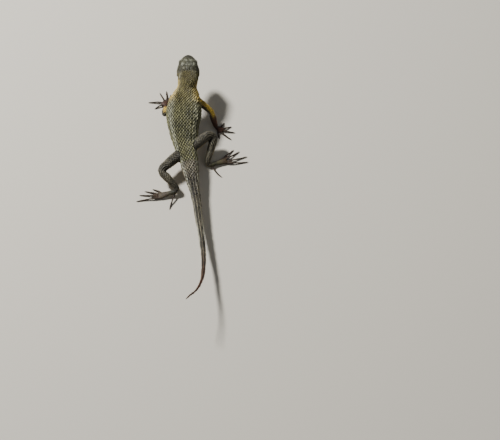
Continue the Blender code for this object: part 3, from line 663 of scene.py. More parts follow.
# Rooms of the unwrap, one for each chain: left, bottom, width, height
ROOMS = {"trunk": (0.01, 0.52, 0.98, 0.46), "head": (0.01, 0.30, 0.24, 0.20)}
for number, chain in enumerate(("arm_left", "arm_right", "leg_left", "leg_right")):
    ROOMS[chain] = (0.26 + 0.185 * number, 0.30, 0.17, 0.20)
for number, chain in enumerate(name for name in CHAINS if name not in ROOMS):
    ROOMS[chain] = (0.01 + 0.098 * (number % 10), 0.02 + 0.13 * (number // 10), 0.085, 0.11)


def patch_place(chain, s, turn):
    """Where a place on a chain lies on the unwrap of the skin."""
    left, bottom, width, height = ROOMS[chain]
    share = np.clip(s / LINES[chain].length, 0, 1)
    return (left + width * share, bottom + height * (turn + 1) / 2, 0.0)


# Rays that measure the skin round a chain, and how many must meet it
RAYS, LEAST_RAYS = 48, 6
# A scale's height against its width and depth, and its depth where the scales stand in whorls
HIGH_SHARE, WHORL_SHARE = 0.8, 0.62


def ray_way(turn, up, right):
    return up * math.cos(turn * math.pi) + right * math.sin(turn * math.pi)


def section(line, chain, s):
    """Running length round the skin from the back's middle, and turn, at a length along a chain."""
    middle, _, right, up = line.at(s)
    turns = np.linspace(-1, 1, RAYS + 1)
    hits = [surface.cast(middle, ray_way(turn, up, right)) for turn in turns]
    own = np.array([hit is not None and face_label[hit[2]] == chain for hit in hits])
    if own.sum() < LEAST_RAYS:
        return None
    where = np.concatenate([turns[own] - 2, turns[own], turns[own] + 2])
    reach = np.array([hit[3] for hit, kept in zip(hits, own) if kept])
    reach = np.interp(turns, where, np.tile(reach, 3))
    outline = np.stack([np.sin(turns * math.pi) * reach, np.cos(turns * math.pi) * reach], axis=1)
    around = lengths_along(outline)
    return around - around[RAYS // 2], turns


def along_table(s, table):
    """A value at a length, from a table of lengths and values."""
    return float(np.interp(s, *zip(*table)))


def grow_rows(chain, pitch, width, roots_for, end=None, whorls=math.inf):
    """Rows of scales along a chain, staggered, or in whorls from a length along it.

    Pitch and width are tables of length along and millimetres.
    """
    line = LINES[chain]
    s, row = 0.0, 0
    while s < (end or line.length):
        step = along_table(s, pitch)
        ring = section(line, chain, s)
        if ring is not None:
            around, turns = ring
            middle, back, right, up = line.at(s)
            girth = around[-1] - around[0]
            count = max(4, round(girth / along_table(s, width)))
            wide = girth / count
            deep = step * (WHORL_SHARE if s >= whorls else 1.0)
            size = (wide, deep, math.sqrt(wide * deep) * HIGH_SHARE)
            first = -(count // 2) + (0.5 if row % 2 and s < whorls else 0.0)
            for i in range(count):
                turn = float(np.interp((first + i) * wide, around, turns))
                hit = surface.cast(middle, ray_way(turn, up, right))
                if hit is None or face_label[hit[2]] != chain:
                    continue
                point, out = hit[:2]
                roots = roots_for(s, turn)
                roots.add(point, out, unit(back - out * (back @ out)), size, chain, s, turn)
        s += step
        row += 1


# Small scales of the gaps: their size on each kind of chain, the most against the rows, and their spacing
FILL_SIZE = {"trunk": 0.75, "arm": 0.6, "leg": 0.65, "finger": 0.42, "toe": 0.42}
FILL_MOST, FILL_SPACING, FILL_MARGIN = 0.8, 0.36, 0.1
# Each digit's last stretch is left to its claw
BARE_TIP = 1.2
CELL = 1.6


class Taken:
    """Places already covered, in a grid of cells."""

    def __init__(self):
        self.cells = {}

    def home(self, point):
        return tuple(np.floor(point / CELL).astype(int))

    def cover(self, point, size):
        self.cells.setdefault(self.home(point), []).append((point, size))

    def near(self, point, size):
        """Whether another place leaves no room here."""
        x, y, z = self.home(point)
        cells = [(x + i, y + j, z + k) for i in (-1, 0, 1) for j in (-1, 0, 1) for k in (-1, 0, 1)]
        return any(
            np.linalg.norm(point - other) < FILL_SPACING * (size + wide) + FILL_MARGIN
            for cell in cells
            for other, wide in self.cells.get(cell, ())
        )


def fill_gaps():
    """Small scales wherever the rows left the skin bare, such as where the limbs grow out."""
    taken = Taken()
    for roots in (nape, back, tail, belly, arm_coat, leg_coat, foot_coat, digit_coat):
        for point, lie, size in zip(roots.rows["point"], roots.rows["lie"], roots.rows["size"]):
            taken.cover(point + lie * 0.3 * size[1], min(size[0], size[1]))
    for index in np.random.default_rng(SEED).permutation(len(skin_points)):
        point, chain = skin_points[index], skin_labels[index]
        if chain == "head":
            continue
        kind = kind_of(chain)
        s, turn = skin_places[index][:2]
        size = FILL_SIZE[kind]
        if kind == "trunk":
            size = min(size, along_table(s, WIDTH) * FILL_MOST)
        at_claw = kind in CLAW_LENGTH and s > LINES[chain].length - BARE_TIP
        if at_claw or taken.near(point, size):
            continue
        out = surface.nearest(point)[1]
        back_way = LINES[chain].at(s)[1]
        lie = unit(back_way - out * (back_way @ out))
        roots = trunk_roots(s, turn) if kind == "trunk" else LIMB_COATS.get(kind, digit_coat)
        roots.add(point - lie * 0.3 * size, out, lie, (size, size, size), chain, s, turn)
        taken.cover(point, size)


# The shape of a scale: x across, y from root to tip, z out of the skin, each 1 long

KEELED_ROWS = ((0.0, 0.30), (0.25, 0.45), (0.5, 0.5), (0.7, 0.42), (0.86, 0.26), (1.0, 0.03))
SMOOTH_ROWS = ((0.0, 0.34), (0.3, 0.48), (0.62, 0.5), (0.87, 0.4), (1.0, 0.2))
COLUMNS = (-1, -0.62, -0.2, 0, 0.2, 0.62, 1)
# How far the root lies behind the point it grows on, and how thick the scale is
ROOT_BACK, THICK = 0.25, 0.3
# Height along the scale, its dome at the root, how far its sides hang, and the keel's half width
RISE_AT, RISE = (0, 0.25, 0.7, 1), (-0.45, 0.05, 0.7, 1.0)
DOME, HANG, KEEL_WIDE = 0.35, 0.35, 0.34


def scale_shape(name, rows, keel, lift):
    """A closed leaf of a scale. Rows are (along, half width)."""
    points = []
    for along, half in rows:
        for share in COLUMNS:
            dome = 1 - share * share
            ridge = keel * max(0.0, 1 - abs(share) / KEEL_WIDE) * smooth_step(0.0, 0.5, along)
            z = np.interp(along, RISE_AT, RISE) * lift + DOME * dome * (1 - along) + ridge
            points.append((share * half, along - ROOT_BACK, z - HANG * (1 - dome) * (along < 1)))
    wide, last = len(COLUMNS), len(rows) - 1
    corners = [i * wide + j for i in range(last) for j in range(wide - 1)]
    faces = [(a, a + 1, a + 1 + wide, a + wide) for a in corners]
    rim = list(range(wide)) + [wide * i + wide - 1 for i in range(1, last + 1)]
    rim += [wide * last + j for j in range(wide - 2, -1, -1)] + [wide * i for i in range(last - 1, 0, -1)]
    under, count = len(points), len(rim)
    points += [(x * 0.9, y - 0.02, z - THICK) for x, y, z in (points[k] for k in rim)]
    for k in range(count):
        after = (k + 1) % count
        faces.append((rim[k], under + k, under + after, rim[after]))
    faces.append(tuple(reversed(range(under, under + count))))
    made = new_object(name, np.array(points) / MM, faces)
    with editing(made.data) as shape:
        bmesh.ops.recalc_face_normals(shape, faces=shape.faces)
        bmesh.ops.triangulate(shape, faces=shape.faces)
        bmesh.ops.remove_doubles(shape, verts=shape.verts, dist=1e-5)
    places = np.array([v.co for v in made.data.vertices])
    store(made.data, "leaf", "FLOAT_VECTOR", places * (1, 1, 0) + (0.5, ROOT_BACK, 0))
    made.data.shade_smooth()
    made.hide_render = True
    return made


def add(tree, kind, inputs=None, out=0, **settings):
    """Adds a node with its settings, and its inputs as values or as links, and gives one of its outputs."""
    made = tree.nodes.new(kind)
    for name, value in settings.items():
        setattr(made, name, value)
    for key, value in (inputs or {}).items():
        if isinstance(value, bpy.types.NodeSocket):
            tree.links.new(value, made.inputs[key])
        else:
            made.inputs[key].default_value = value
    return made if out is None else made.outputs[out]


# Each scale differs from the next by these shares of its width, length and height
LEAST_SIZE, MOST_SIZE = (0.92, 0.93, 0.8), (1.08, 1.08, 1.2)
PATCH_SIZE = 0.003
COAT_INPUTS = {
    "Roots": "Geometry",
    "Scale shape": "Object",
    "Finish": "Material",
    "Width share": "Float",
    "Length share": "Float",
    "Height share": "Float",
    "Turn spread": "Float",
    "Patch size": "Float",
    "Seed": "Int",
}


def coat_tree():
    """Geometry nodes that grow a scale on each point, each with its small patch of the unwrap."""
    tree = bpy.data.node_groups.new("scales on roots", "GeometryNodeTree")
    tree.is_modifier = True
    for name, kind in COAT_INPUTS.items():
        tree.interface.new_socket(name, in_out="INPUT", socket_type=f"NodeSocket{kind}")
    tree.interface.new_socket("Coat", in_out="OUTPUT", socket_type="NodeSocketGeometry")
    given = add(tree, "NodeGroupInput", out=None).outputs
    read = {
        key: add(tree, "GeometryNodeInputNamedAttribute", {"Name": key}, data_type="FLOAT_VECTOR")
        for key in ("out", "lie", "size", "leaf", "patch")
    }
    shares = {axis: given[f"{word} share"] for axis, word in zip("XYZ", ("Width", "Length", "Height"))}
    spread = {
        word: add(
            tree,
            "FunctionNodeRandomValue",
            {"Min": low, "Max": high, "Seed": given["Seed"]},
            data_type="FLOAT_VECTOR",
        )
        for word, low, high in (("size", LEAST_SIZE, MOST_SIZE), ("turn", (-1, -1, -1), (1, 1, 1)))
    }
    size = read["size"]
    for by in (add(tree, "ShaderNodeCombineXYZ", shares), spread["size"]):
        size = add(tree, "ShaderNodeVectorMath", {0: size, 1: by}, operation="MULTIPLY")
    stand = add(
        tree,
        "FunctionNodeAxesToRotation",
        {"Primary Axis": read["out"], "Secondary Axis": read["lie"]},
        primary_axis="Z",
        secondary_axis="Y",
    )
    loose = {0: spread["turn"], "Scale": given["Turn spread"]}
    loose = add(tree, "ShaderNodeVectorMath", loose, operation="SCALE")
    turned = add(
        tree,
        "FunctionNodeRotateRotation",
        {"Rotation": stand, "Rotate By": add(tree, "FunctionNodeEulerToRotation", {"Euler": loose})},
        rotation_space="LOCAL",
    )
    shape = add(tree, "GeometryNodeObjectInfo", {"Object": given["Scale shape"]}, "Geometry")
    placed = {"Points": given["Roots"], "Instance": shape, "Rotation": turned, "Scale": size}
    coat = add(tree, "GeometryNodeInstanceOnPoints", placed)
    coat = add(tree, "GeometryNodeRealizeInstances", {"Geometry": coat})
    patch = {0: read["leaf"], "Scale": given["Patch size"]}
    patch = add(tree, "ShaderNodeVectorMath", patch, operation="SCALE")
    patch = add(tree, "ShaderNodeVectorMath", {0: read["patch"], 1: patch}, operation="ADD")
    coat = add(
        tree,
        "GeometryNodeStoreNamedAttribute",
        {"Geometry": coat, "Name": "OFBake", "Value": patch},
        data_type="FLOAT2",
        domain="CORNER",
    )
    kept = add(tree, "GeometryNodeInputPosition")
    for corner, way in ((BOX_LOW, "MAXIMUM"), (BOX_HIGH, "MINIMUM")):
        kept = add(tree, "ShaderNodeVectorMath", {0: kept, 1: tuple(corner * MM)}, operation=way)
    coat = add(tree, "GeometryNodeSetPosition", {"Geometry": coat, "Position": kept})
    for name in ("out", "lie", "size", "patch"):
        coat = add(tree, "GeometryNodeRemoveAttribute", {"Geometry": coat, "Name": name})
    coat = add(tree, "GeometryNodeSetMaterial", {"Geometry": coat, "Material": given["Finish"]})
    add(tree, "NodeGroupOutput", {"Coat": coat}, out=None)
    return tree


def grow_coat(name, roots, shape, finish, shares, turn_spread=0.05):
    """A coat piece: a scale of this shape on each root."""
    made = roots.object(name)
    step = made.modifiers.new("scales", "NODES")
    step.node_group = COAT_TREE
    given = {"Scale shape": shape, "Finish": finish, "Turn spread": turn_spread, "Seed": SEED}
    given |= {"Width share": shares[0], "Length share": shares[1], "Height share": shares[2]}
    given["Patch size"] = PATCH_SIZE
    for item in COAT_TREE.interface.items_tree:
        if item.name in given:
            step[item.identifier] = given[item.name]
    return finished(settle(made), finish)


# Finishes

# Width of the patches of each pattern in millimetres. Mottling spreads over about one scale, and clouds over
# four. The real grain of keratin, skin and horn is far finer, and is drawn this coarse so that it shows
MOTTLE, CLOUD = 2.381, 9.091
SCALE_GRAIN, SKIN_GRAIN, LID_GRAIN = 0.1923, 0.3125, 0.4167
DRUM_GRAIN, HORN_GRAIN, IRIS_GRAIN = 1.111, 0.7143, 0.3846
FLECK, GOLD, RUST, PALE, BLUE = "#c2c3ac", "#b89a3c", "#4a2e1e", "#bdb299", "#26395a"
BLOTCH_SHARE, BAR_DARK = 0.35, 0.62
TONES = (0.56, 0.96)


def per_metre(patch):
    """The noise scale that gives patches this many millimetres across."""
    return 1 / (patch * MM)


def linear(hex_colour):
    """An sRGB hex colour as linear red, green, blue and alpha."""
    parts = [int(hex_colour[i : i + 2], 16) / 255 for i in (1, 3, 5)]
    return (*(c / 12.92 if c <= 0.04045 else ((c + 0.055) / 1.055) ** 2.4 for c in parts), 1.0)


def marked_colour(tree, place, back, dark):
    """The animal's colours at a place, from the markings that the mesh carries."""
    mark = {
        key: add(tree, "ShaderNodeAttribute", out="Fac", attribute_name=key) for key in (*MARKS, "tone")
    }
    patterns = {"blotch": (MOTTLE, 3.0, 0.6), "cloud": (CLOUD, 2.0, 0.5)}
    noise = {
        key: add(
            tree,
            "ShaderNodeTexNoise",
            {"Vector": place, "Scale": per_metre(patch), "Detail": detail, "Roughness": rough},
            "Fac",
        )
        for key, (patch, detail, rough) in patterns.items()
    }
    ramps = {
        "cloud": (noise["cloud"], 0.35, 0.65),
        "blotch": (noise["blotch"], 0.5, 0.72),
        "tone": (mark["tone"], -1.0, 1.0),
    }
    part = {
        key: add(
            tree,
            "ShaderNodeMapRange",
            {"Value": value, "From Min": low, "From Max": high},
            "Result",
            interpolation_type="SMOOTHSTEP",
        )
        for key, (value, low, high) in ramps.items()
    }
    lessened = {
        key: add(tree, "ShaderNodeMath", {0: value, 1: share}, operation="MULTIPLY")
        for key, value, share in (("blotch", part["blotch"], BLOTCH_SHARE), ("bar", mark["bar"], BAR_DARK))
    }
    # The dark marks also carry, on the skin, the painted shade of the pressed mouth and nostrils
    layers = (
        (part["cloud"], back[1]),
        (lessened["blotch"], dark),
        (mark["fleck"], FLECK),
        (lessened["bar"], dark),
        (mark["gold"], GOLD),
        (mark["rust"], RUST),
        (mark["under"], PALE),
        (mark["blue"], BLUE),
    )
    colour = linear(back[0])
    for share, over in layers:
        inputs = {"Factor": share, "A": colour, "B": linear(over)}
        colour = add(tree, "ShaderNodeMix", inputs, "Result", data_type="RGBA")
    inputs = {"Value": part["tone"], "To Min": TONES[0], "To Max": TONES[1]}
    light = add(tree, "ShaderNodeMapRange", inputs, "Result")
    return add(tree, "ShaderNodeVectorMath", {0: colour, "Scale": light}, operation="SCALE")


def new_material(name):
    """A material with its tree, its shader and a place on the piece."""
    made = bpy.data.materials.new(name)
    made.use_nodes = True
    tree = made.node_tree
    tree.nodes.clear()
    shader = add(tree, "ShaderNodeBsdfPrincipled", out=None)
    add(tree, "ShaderNodeOutputMaterial", {"Surface": shader.outputs[0]}, out=None)
    return made, tree, shader, add(tree, "ShaderNodeTexCoord", out="Object")


def fine_grain(tree, shader, place, patch, rough, depth):
    """A fine bump, with a roughness that goes up and down with it."""
    inputs = {"Vector": place, "Scale": per_metre(patch), "Detail": 3.0, "Roughness": 0.6}
    noise = add(tree, "ShaderNodeTexNoise", inputs, "Fac")
    inputs = {"Value": noise, "From Min": 0.3, "From Max": 0.7, "To Min": rough[0], "To Max": rough[1]}
    varied = add(tree, "ShaderNodeMapRange", inputs, "Result")
    bump = add(tree, "ShaderNodeBump", {"Strength": 0.5, "Distance": depth * MM, "Height": noise})
    tree.links.new(varied, shader.inputs["Roughness"])
    tree.links.new(bump, shader.inputs["Normal"])
    return noise


BACK, DARK = ("#45442e", "#5a583c"), "#100f09"
# The painted highlight down a keel, a pale line for the light it catches, runs between these shares of the
# scale's width and starts along it here
KEEL_HIGHLIGHT_FROM, KEEL_HIGHLIGHT_TO, KEEL_HIGHLIGHT_START = 0.05, 0.23, (0.2, 0.5)


def scale_finish(name, back, dark, root, keel, grow):
    """Dry keratin with a painted highlight this bright down the keel, on a root and sides darkened by painted
    shade where they slip under their neighbours.

    Root holds where the painted shade ends and starts along the scale and its brightness. Grow is that of the
    tip.
    """
    made, tree, shader, place = new_material(name)
    colour = marked_colour(tree, place, back, dark)
    leaf = add(tree, "ShaderNodeAttribute", out="Vector", attribute_name="leaf")
    parts = add(tree, "ShaderNodeSeparateXYZ", {0: leaf}, out=None).outputs
    off = add(tree, "ShaderNodeMath", {0: parts["X"], 1: 0.5}, operation="SUBTRACT")
    off = add(tree, "ShaderNodeMath", {0: off}, operation="ABSOLUTE")
    back_by = add(tree, "ShaderNodeMath", {0: off, 1: -1.0, 2: parts["Y"]}, operation="MULTIPLY_ADD")
    # Painted shade darkens each scale from its root and its sides, and a painted highlight lightens its keel
    # from part way along
    ramps = (
        (back_by, *root, grow),
        (off, KEEL_HIGHLIGHT_FROM, KEEL_HIGHLIGHT_TO, keel, 0.0),
        (parts["Y"], *KEEL_HIGHLIGHT_START, 0.0, 1.0),
    )
    root_shade, ridge, seen = (
        add(
            tree,
            "ShaderNodeMapRange",
            {"Value": value, "From Min": low, "From Max": high, "To Min": first, "To Max": last},
            "Result",
            interpolation_type="SMOOTHSTEP",
        )
        for value, low, high, first, last in ramps
    )
    ridge = add(tree, "ShaderNodeMath", {0: ridge, 1: seen}, operation="MULTIPLY")
    shade = add(tree, "ShaderNodeMath", {0: root_shade, 1: ridge}, operation="ADD")
    # On the pale underside the painted shade is softer and the keel's painted highlight is left out
    under = add(tree, "ShaderNodeAttribute", out="Fac", attribute_name="under")
    soft = add(tree, "ShaderNodeMapRange", {"Value": root_shade, "To Min": 0.55, "To Max": 1.0}, "Result")
    shade = add(tree, "ShaderNodeMix", {"Factor": under, "A": shade, "B": soft}, data_type="FLOAT")
    colour = add(tree, "ShaderNodeVectorMath", {0: colour, "Scale": shade}, operation="SCALE")
    tree.links.new(colour, shader.inputs["Base Color"])
    fine_grain(tree, shader, place, SCALE_GRAIN, (0.45, 0.68), 0.03)
    shader.inputs["Specular IOR Level"].default_value = 0.35
    return made


def skin_finish(name, back, dark):
    """Thin skin in the animal's markings, with a fine grain."""
    made, tree, shader, place = new_material(name)
    tree.links.new(marked_colour(tree, place, back, dark), shader.inputs["Base Color"])
    fine_grain(tree, shader, place, SKIN_GRAIN, (0.6, 0.85), 0.06)
    return made


def plain_finish(name, colours, patch, rough, depth):
    """A finish of one kind of surface: two near colours in soft clouds, and a fine grain."""
    made, tree, shader, place = new_material(name)
    grain = fine_grain(tree, shader, place, patch, rough, depth)
    share = add(tree, "ShaderNodeMapRange", {"Value": grain, "From Min": 0.35, "From Max": 0.65}, "Result")
    inputs = {"Factor": share, "A": linear(colours[0]), "B": linear(colours[1])}
    mixed = add(tree, "ShaderNodeMix", inputs, "Result", data_type="RGBA")
    tree.links.new(mixed, shader.inputs["Base Color"])
    return made


# The coat

# Dry keratin of the back: a dull olive leaf with a painted highlight down its keel, and painted shade, black,
# where it slips under the next
DRY_SCALES = scale_finish("dry keratin scales", BACK, DARK, (0.3, 0.75, 0.0), 2.9, 0.3)
# The tail's longer scales, browner and with a brighter painted highlight on the keel, so the whorls read as
# rings of spikes
TAIL_SCALES = scale_finish(
    "dry keeled tail scales", ("#403b30", "#5c5646"), DARK, (0.4, 0.9, 0.0), 3.2, 0.3
)
# Limb scales, greyer and with a fainter painted highlight on the keel
LIMB_SCALES = scale_finish("keeled limb scales", ("#403c30", "#5a5545"), DARK, (0.3, 0.75, 0.0), 2.3, 0.45)
# Belly scales have no keel: flat, pale and smooth, with a soft shade at the root
BELLY_SCALES = scale_finish("smooth pale belly scales", BACK, DARK, (0.0, 0.7, 0.55), 0.1, 1.05)
# Hands and feet: dull, rounded and nearly even in colour, with painted shade at each scale's root and a faint
# painted highlight down its middle
FOOT_SCALES = scale_finish("small foot scales", BACK, DARK, (0.2, 0.6, 0.1), 0.5, 1.0)
# The skin between the scales, dark in itself and made much darker than they are as painted shade in the gaps,
# so that every scale has a dark outline
THIN_SKIN = skin_finish("thin grained skin", ("#1d1b13", "#262317"), "#0d0c08")
COAT_TREE = coat_tree()
keeled = scale_shape("keeled_scale", KEELED_ROWS, 0.55, 1.0)
smooth = scale_shape("smooth_scale", SMOOTH_ROWS, 0.0, 0.7)

nape, back, tail, belly = Roots(), Roots(), Roots(), Roots()
arm_coat, leg_coat, foot_coat, digit_coat = Roots(), Roots(), Roots(), Roots()
temples, throat, brows = Roots(), Roots(), Roots()
LIMB_COATS = {"arm": arm_coat, "leg": leg_coat}

# The trunk's rows: lengths along it with their pitch and width, and where one coat ends and the next starts
SHOULDER_AT, VENT_AT, WHORLS_FROM, BELLY_FROM = 16.0, 65.0, 76.0, 0.66
PITCH = ((0, 0.55), (8, 0.7), (18, 1.05), (34, 1.25), (WHORLS_FROM - 0.1, 1.2))
PITCH += ((WHORLS_FROM, 1.95), (130, 1.9), (160, 1.5), (184, 1.0))
WIDTH = ((0, 0.85), (8, 1.1), (18, 1.6), (34, 1.9), (76, 1.85))
WIDTH += ((90, 1.8), (130, 1.5), (160, 0.95), (184, 0.55))
# The limbs' rows: pitch and width at the root, along the limb and on the palm or sole
LIMB_PITCH, LIMB_WIDTH = (0.6, 0.78, 0.72, 0.55, 0.5), (1.0, 1.2, 1.1, 0.75, 0.65)
LIMB_SIZE = {"arm": 1.0, "leg": 1.2}
PALM_LENGTH = {"arm": 6.0, "leg": 11.0}
DIGIT_PITCH, DIGIT_WIDTH = ((0, 0.5), (10, 0.42)), ((0, 0.72), (10, 0.6))
CLAW_LENGTH = {"finger": 1.15, "toe": 1.35}


def trunk_roots(s, turn):
    """The coat that a place on the trunk belongs to."""
    if abs(turn) > BELLY_FROM:
        return belly
    if s < SHOULDER_AT:
        return nape
    return back if s < VENT_AT else tail


def limb_table(kind, palm, length, values):
    """A table of lengths along a limb and values, larger above the palm on the legs."""
    shares = [LIMB_SIZE[kind]] * 3 + [1.0, 1.0]
    return [(at, value * share) for at, value, share in zip((0, 5, palm - 4, palm, length), values, shares)]


grow_rows("trunk", PITCH, WIDTH, trunk_roots, whorls=WHORLS_FROM)
for side in SIDES:
    for kind, limb_coat in LIMB_COATS.items():
        chain = f"{kind}_{side}"
        length = LINES[chain].length
        palm = length - PALM_LENGTH[kind]
        pitch, width = (limb_table(kind, palm, length, values) for values in (LIMB_PITCH, LIMB_WIDTH))
        grow_rows(chain, pitch, width, lambda s, turn: limb_coat if s < palm else foot_coat)
    for number in DIGITS:
        for word in ("finger", "toe"):
            chain = f"{word}_{side}_{number}"
            end = LINES[chain].length - 1.0
            grow_rows(chain, DIGIT_PITCH, DIGIT_WIDTH, lambda s, turn: digit_coat, end)
fill_gaps()

# Shares of each scale's place that it takes up: width, length and height
grow_coat("back_scales", back, keeled, DRY_SCALES, (1.12, 2.4, 0.54))
grow_coat("tail_scales", tail, keeled, TAIL_SCALES, (1.12, 2.4, 0.5))
grow_coat("belly_scales", belly, smooth, BELLY_SCALES, (1.1, 2.2, 0.22), 0.03)
grow_coat("nape_scales", nape, keeled, DRY_SCALES, (1.12, 2.4, 0.5))
grow_coat("arm_scales", arm_coat, keeled, LIMB_SCALES, (1.12, 2.3, 0.32))
grow_coat("leg_scales", leg_coat, keeled, LIMB_SCALES, (1.12, 2.3, 0.36))
grow_coat("foot_scales", foot_coat, smooth, FOOT_SCALES, (1.1, 2.2, 0.3))
grow_coat("digit_scales", digit_coat, smooth, FOOT_SCALES, (1.15, 1.8, 0.16))


# The head: plates and small scales are cells that share the skin between their middles

LID_ROOM, BROW_ROOM, EAR_HOLE, NOSTRIL_ROOM, MOUTH_ROOM = 0.14, 0.3, 1.2, 0.42, 0.42
EAR_OUT = 0.9
# How far a socket reaches from its eye's middle, and how squarely its inner wall faces the eye
SOCKET, LID_REACH, FACING = 3.6, 3.4, 0.25
# Plates of the crown: millimetres ahead of the eyes, out from the middle, and size as half a width
CROWN = (
    ((-5.3, 0.0, 1.75), (-5.7, 2.5, 1.35), (-3.3, 0.85, 0.85), (-3.9, 3.6, 0.75))
    + ((-1.6, 0.0, 0.95), (0.4, 0.0, 1.0), (-2.6, 2.7, 0.75), (-1.4, 2.45, 0.85))
    + ((0.0, 2.4, 0.95), (1.35, 2.25, 0.85), (2.4, 1.95, 0.6), (-2.3, 1.55, 0.4))
    + ((-1.2, 1.35, 0.38), (-0.3, 1.3, 0.38), (0.6, 1.3, 0.38), (1.5, 1.2, 0.38))
    + ((2.2, 0.75, 0.75), (3.5, 0.0, 0.75), (3.6, 1.45, 0.75), (4.9, 0.6, 0.62))
    + ((4.8, 1.7, 0.5), (6.0, 0.5, 0.52), (6.0, 1.45, 0.5), (3.4, 2.55, 0.55))
    + ((4.4, 2.45, 0.45), (-2.9, 3.75, 0.5), (-1.9, 3.75, 0.5), (-0.9, 3.75, 0.55))
    + ((0.2, 3.75, 0.55), (1.3, 3.65, 0.55), (2.4, 3.35, 0.5))
)
# Scales along the lips: their length, their distance from the mouth and their size
LABIAL_LENGTH, LABIAL_OFF, LABIAL_SIZE = 1.35, 0.55, 0.66
# The mouth's corner, ahead of the eyes, and steps of the places that keep plates off the mouth
MOUTH_CORNER, MOUTH_STEP = -4.2, 0.3
# Skin of the mouth's line: most distance from the middle between jaws, from the corner, and parts of the line
MOUTH_GAP, MOUTH_BEHIND, MOUTH_OUTSIDE, MOUTH_PARTS = 0.18, 1.5, 4.0, 45
# Small scales: half width and lift of the tip, on the temples, the snout and below
TEMPLE_SMALL, SNOUT_SMALL, LOWER_SMALL = (0.44, 0.12), (0.4, 0.0), (0.45, 0.1)
SNOUT_FROM, LOWER_FROM = 1.5, -3.2
# Where they change in size: the two distances between which they do, and the half width at the first
TO_NAPE, BY_EAR, BY_EYE = ((-9, -6), 0.5), ((1.6, 3.2), 0.27), ((2.2, 3.4), 0.25)
# Overlapping scales start behind and below these, and the throat's below the last
LEAF_BEHIND, LEAF_BELOW, CROWN_FROM, CROWN_BACK, THROAT_FROM = -3.2, -5.2, 1.0, -6.8, -3.6
LEAF_BACK, LEAF_SIZE = 0.35, (1, 0.72, 0.7)
# Nostril: millimetres ahead of the eyes, out from the middle and up, its half width, length and rim
NOSTRIL, NOSTRIL_WIDTH, NOSTRIL_LONG, NOSTRIL_OUT = (5.5, 2.95, -0.7), 0.34, 1.2, 0.08
# Depth, full radius and end of the hollows pressed into the skin
NOSTRIL_HOLLOW, MOUTH_HOLLOW = (0.55, 0.1, 0.45), (0.3, 0.08, 0.4)
BROW_ROW = (2.75, 1.95, 1.1, 0.25, -0.65, -1.55, -2.4)
BROW_STEEP, BROW_TURN, BROW_SIZE = 1.6, 0.25, (0.95, 0.85, 0.8)
# Seeds stand this share of their sizes apart, with this many tries, more of them round the eyes
SPACING, FILL_TRIES, EYE_TRIES, EYE_REACH = 0.8 * 0.92, 20000, 5, 4.0
# A plate's reach against its size, the seam between plates, and its height
CELL_REACH, SEAM, PLATE_HEIGHT, PLATE_HEIGHT_SHARE = 1.9, 0.055, 0.1, 0.07
# Corners cut off a plate, twice on a large one, its sunk edge, its bevel and its raised middle
CUT, LARGE_CUT, LARGE, PLATE_SUNK, BEVEL, PLATE_RINGS = 0.2, 0.25, 0.6, -0.12, 0.09, (0.55, 1.15, 1.2)
# Where a plate's edge, top and middle lie on the pattern of a scale, from root (0) to tip (1); the edge falls
# in the painted shade of a scale's root
EDGE_LEAF, TOP_LEAF, MIDDLE_LEAF = 0.3, 0.62, 0.66
# Scales over the front edge of an ear: heights, radius of their ring, size and lean
LOBULES, LOBULE_RING = (-0.95, -0.35, 0.3, 0.95), math.sqrt(1.9)
LOBULE_SIZE, LOBULE_LEAN = (0.62, 0.62, 0.6), -0.25


def side_of(point):
    return "left" if point[0] < BROW[0] else "right"


def lie_on_head(out):
    """The way to the tail along the head's skin."""
    return unit(TO_TAIL + out * out[1])


class Cells:
    """Seeds of plates on the head's skin."""

    def __init__(self):
        self.points, self.outs, self.sizes, self.grows, self.tilts = [], [], [], [], []

    def add(self, point, size, tilt=0.0):
        """A seed of a plate, where there is room for it."""
        hit, out = surface.nearest(point)
        if not self.near(hit, size):
            self.keep(hit, out, size, True, tilt)

    def keep_off(self, point, size):
        """Room that no plate takes."""
        self.keep(np.array(point), surface.nearest(point)[1], size, False, 0.0)

    def keep(self, *values):
        for table, value in zip((self.points, self.outs, self.sizes, self.grows, self.tilts), values):
            table.append(value)

    def near(self, point, size):
        """Whether another seed leaves no room here."""
        if not self.points:
            return False
        far = np.linalg.norm(np.array(self.points) - point, axis=1)
        return bool(np.any(far < SPACING * (np.array(self.sizes) + size)))


def lid_edge(side):
    """Places round the eye's opening, where the skin turns in to the eye."""
    ring = []
    for t in on_circle(40):
        across = np.array([0, math.cos(t), math.sin(t)])
        for slant in np.radians(np.arange(20, 80, 1.0)):
            hit = surface.cast(EYES[side], OUTWARD[side] * math.cos(slant) + across * math.sin(slant))
            if hit is not None and hit[3] < SOCKET:
                ring.append(hit[0])
                break
    ring = np.array(ring)
    for _ in range(3):
        ring = (np.roll(ring, 1, axis=0) + 2 * ring + np.roll(ring, -1, axis=0)) / 4
    return ring


def in_lids(point, side):
    """Whether a point of the skin lies inside the eye's opening."""
    off = point - EYES[side]
    if np.linalg.norm(off) > LID_REACH:
        return False
    ring = LID_EDGES[side] - EYES[side]
    angles = np.arctan2(ring[:, 2], ring[:, 1])
    order = np.argsort(angles)
    reach = np.hypot(ring[:, 1], ring[:, 2])
    edge = np.interp(math.atan2(off[2], off[1]), angles[order], reach[order], period=2 * math.pi)
    return math.hypot(off[1], off[2]) < edge + 0.05


def faces_eye(point, side):
    """Whether a point lies on the inner wall of the eye's socket."""
    off = point - EYES[side]
    return np.linalg.norm(off) < SOCKET and surface.nearest(point)[1] @ unit(off) < FACING


def in_ear(point, side):
    """Whether a point lies in the ear's hole, seen from the side."""
    return np.linalg.norm((point - EARS[side]) * (0.4, 1, 1)) < EAR_HOLE + 0.15


LID_EDGES = {side: lid_edge(side) for side in SIDES}


def brow_row(side):
    """Places and ways out along the ridge over an eye."""
    way = unit(OUTWARD[side] + SKY * BROW_STEEP)
    aims = [EYES[side] + np.array([0, ahead, 0]) for ahead in BROW_ROW]
    return [surface.cast(aim + way * 8, -way)[:2] for aim in aims]


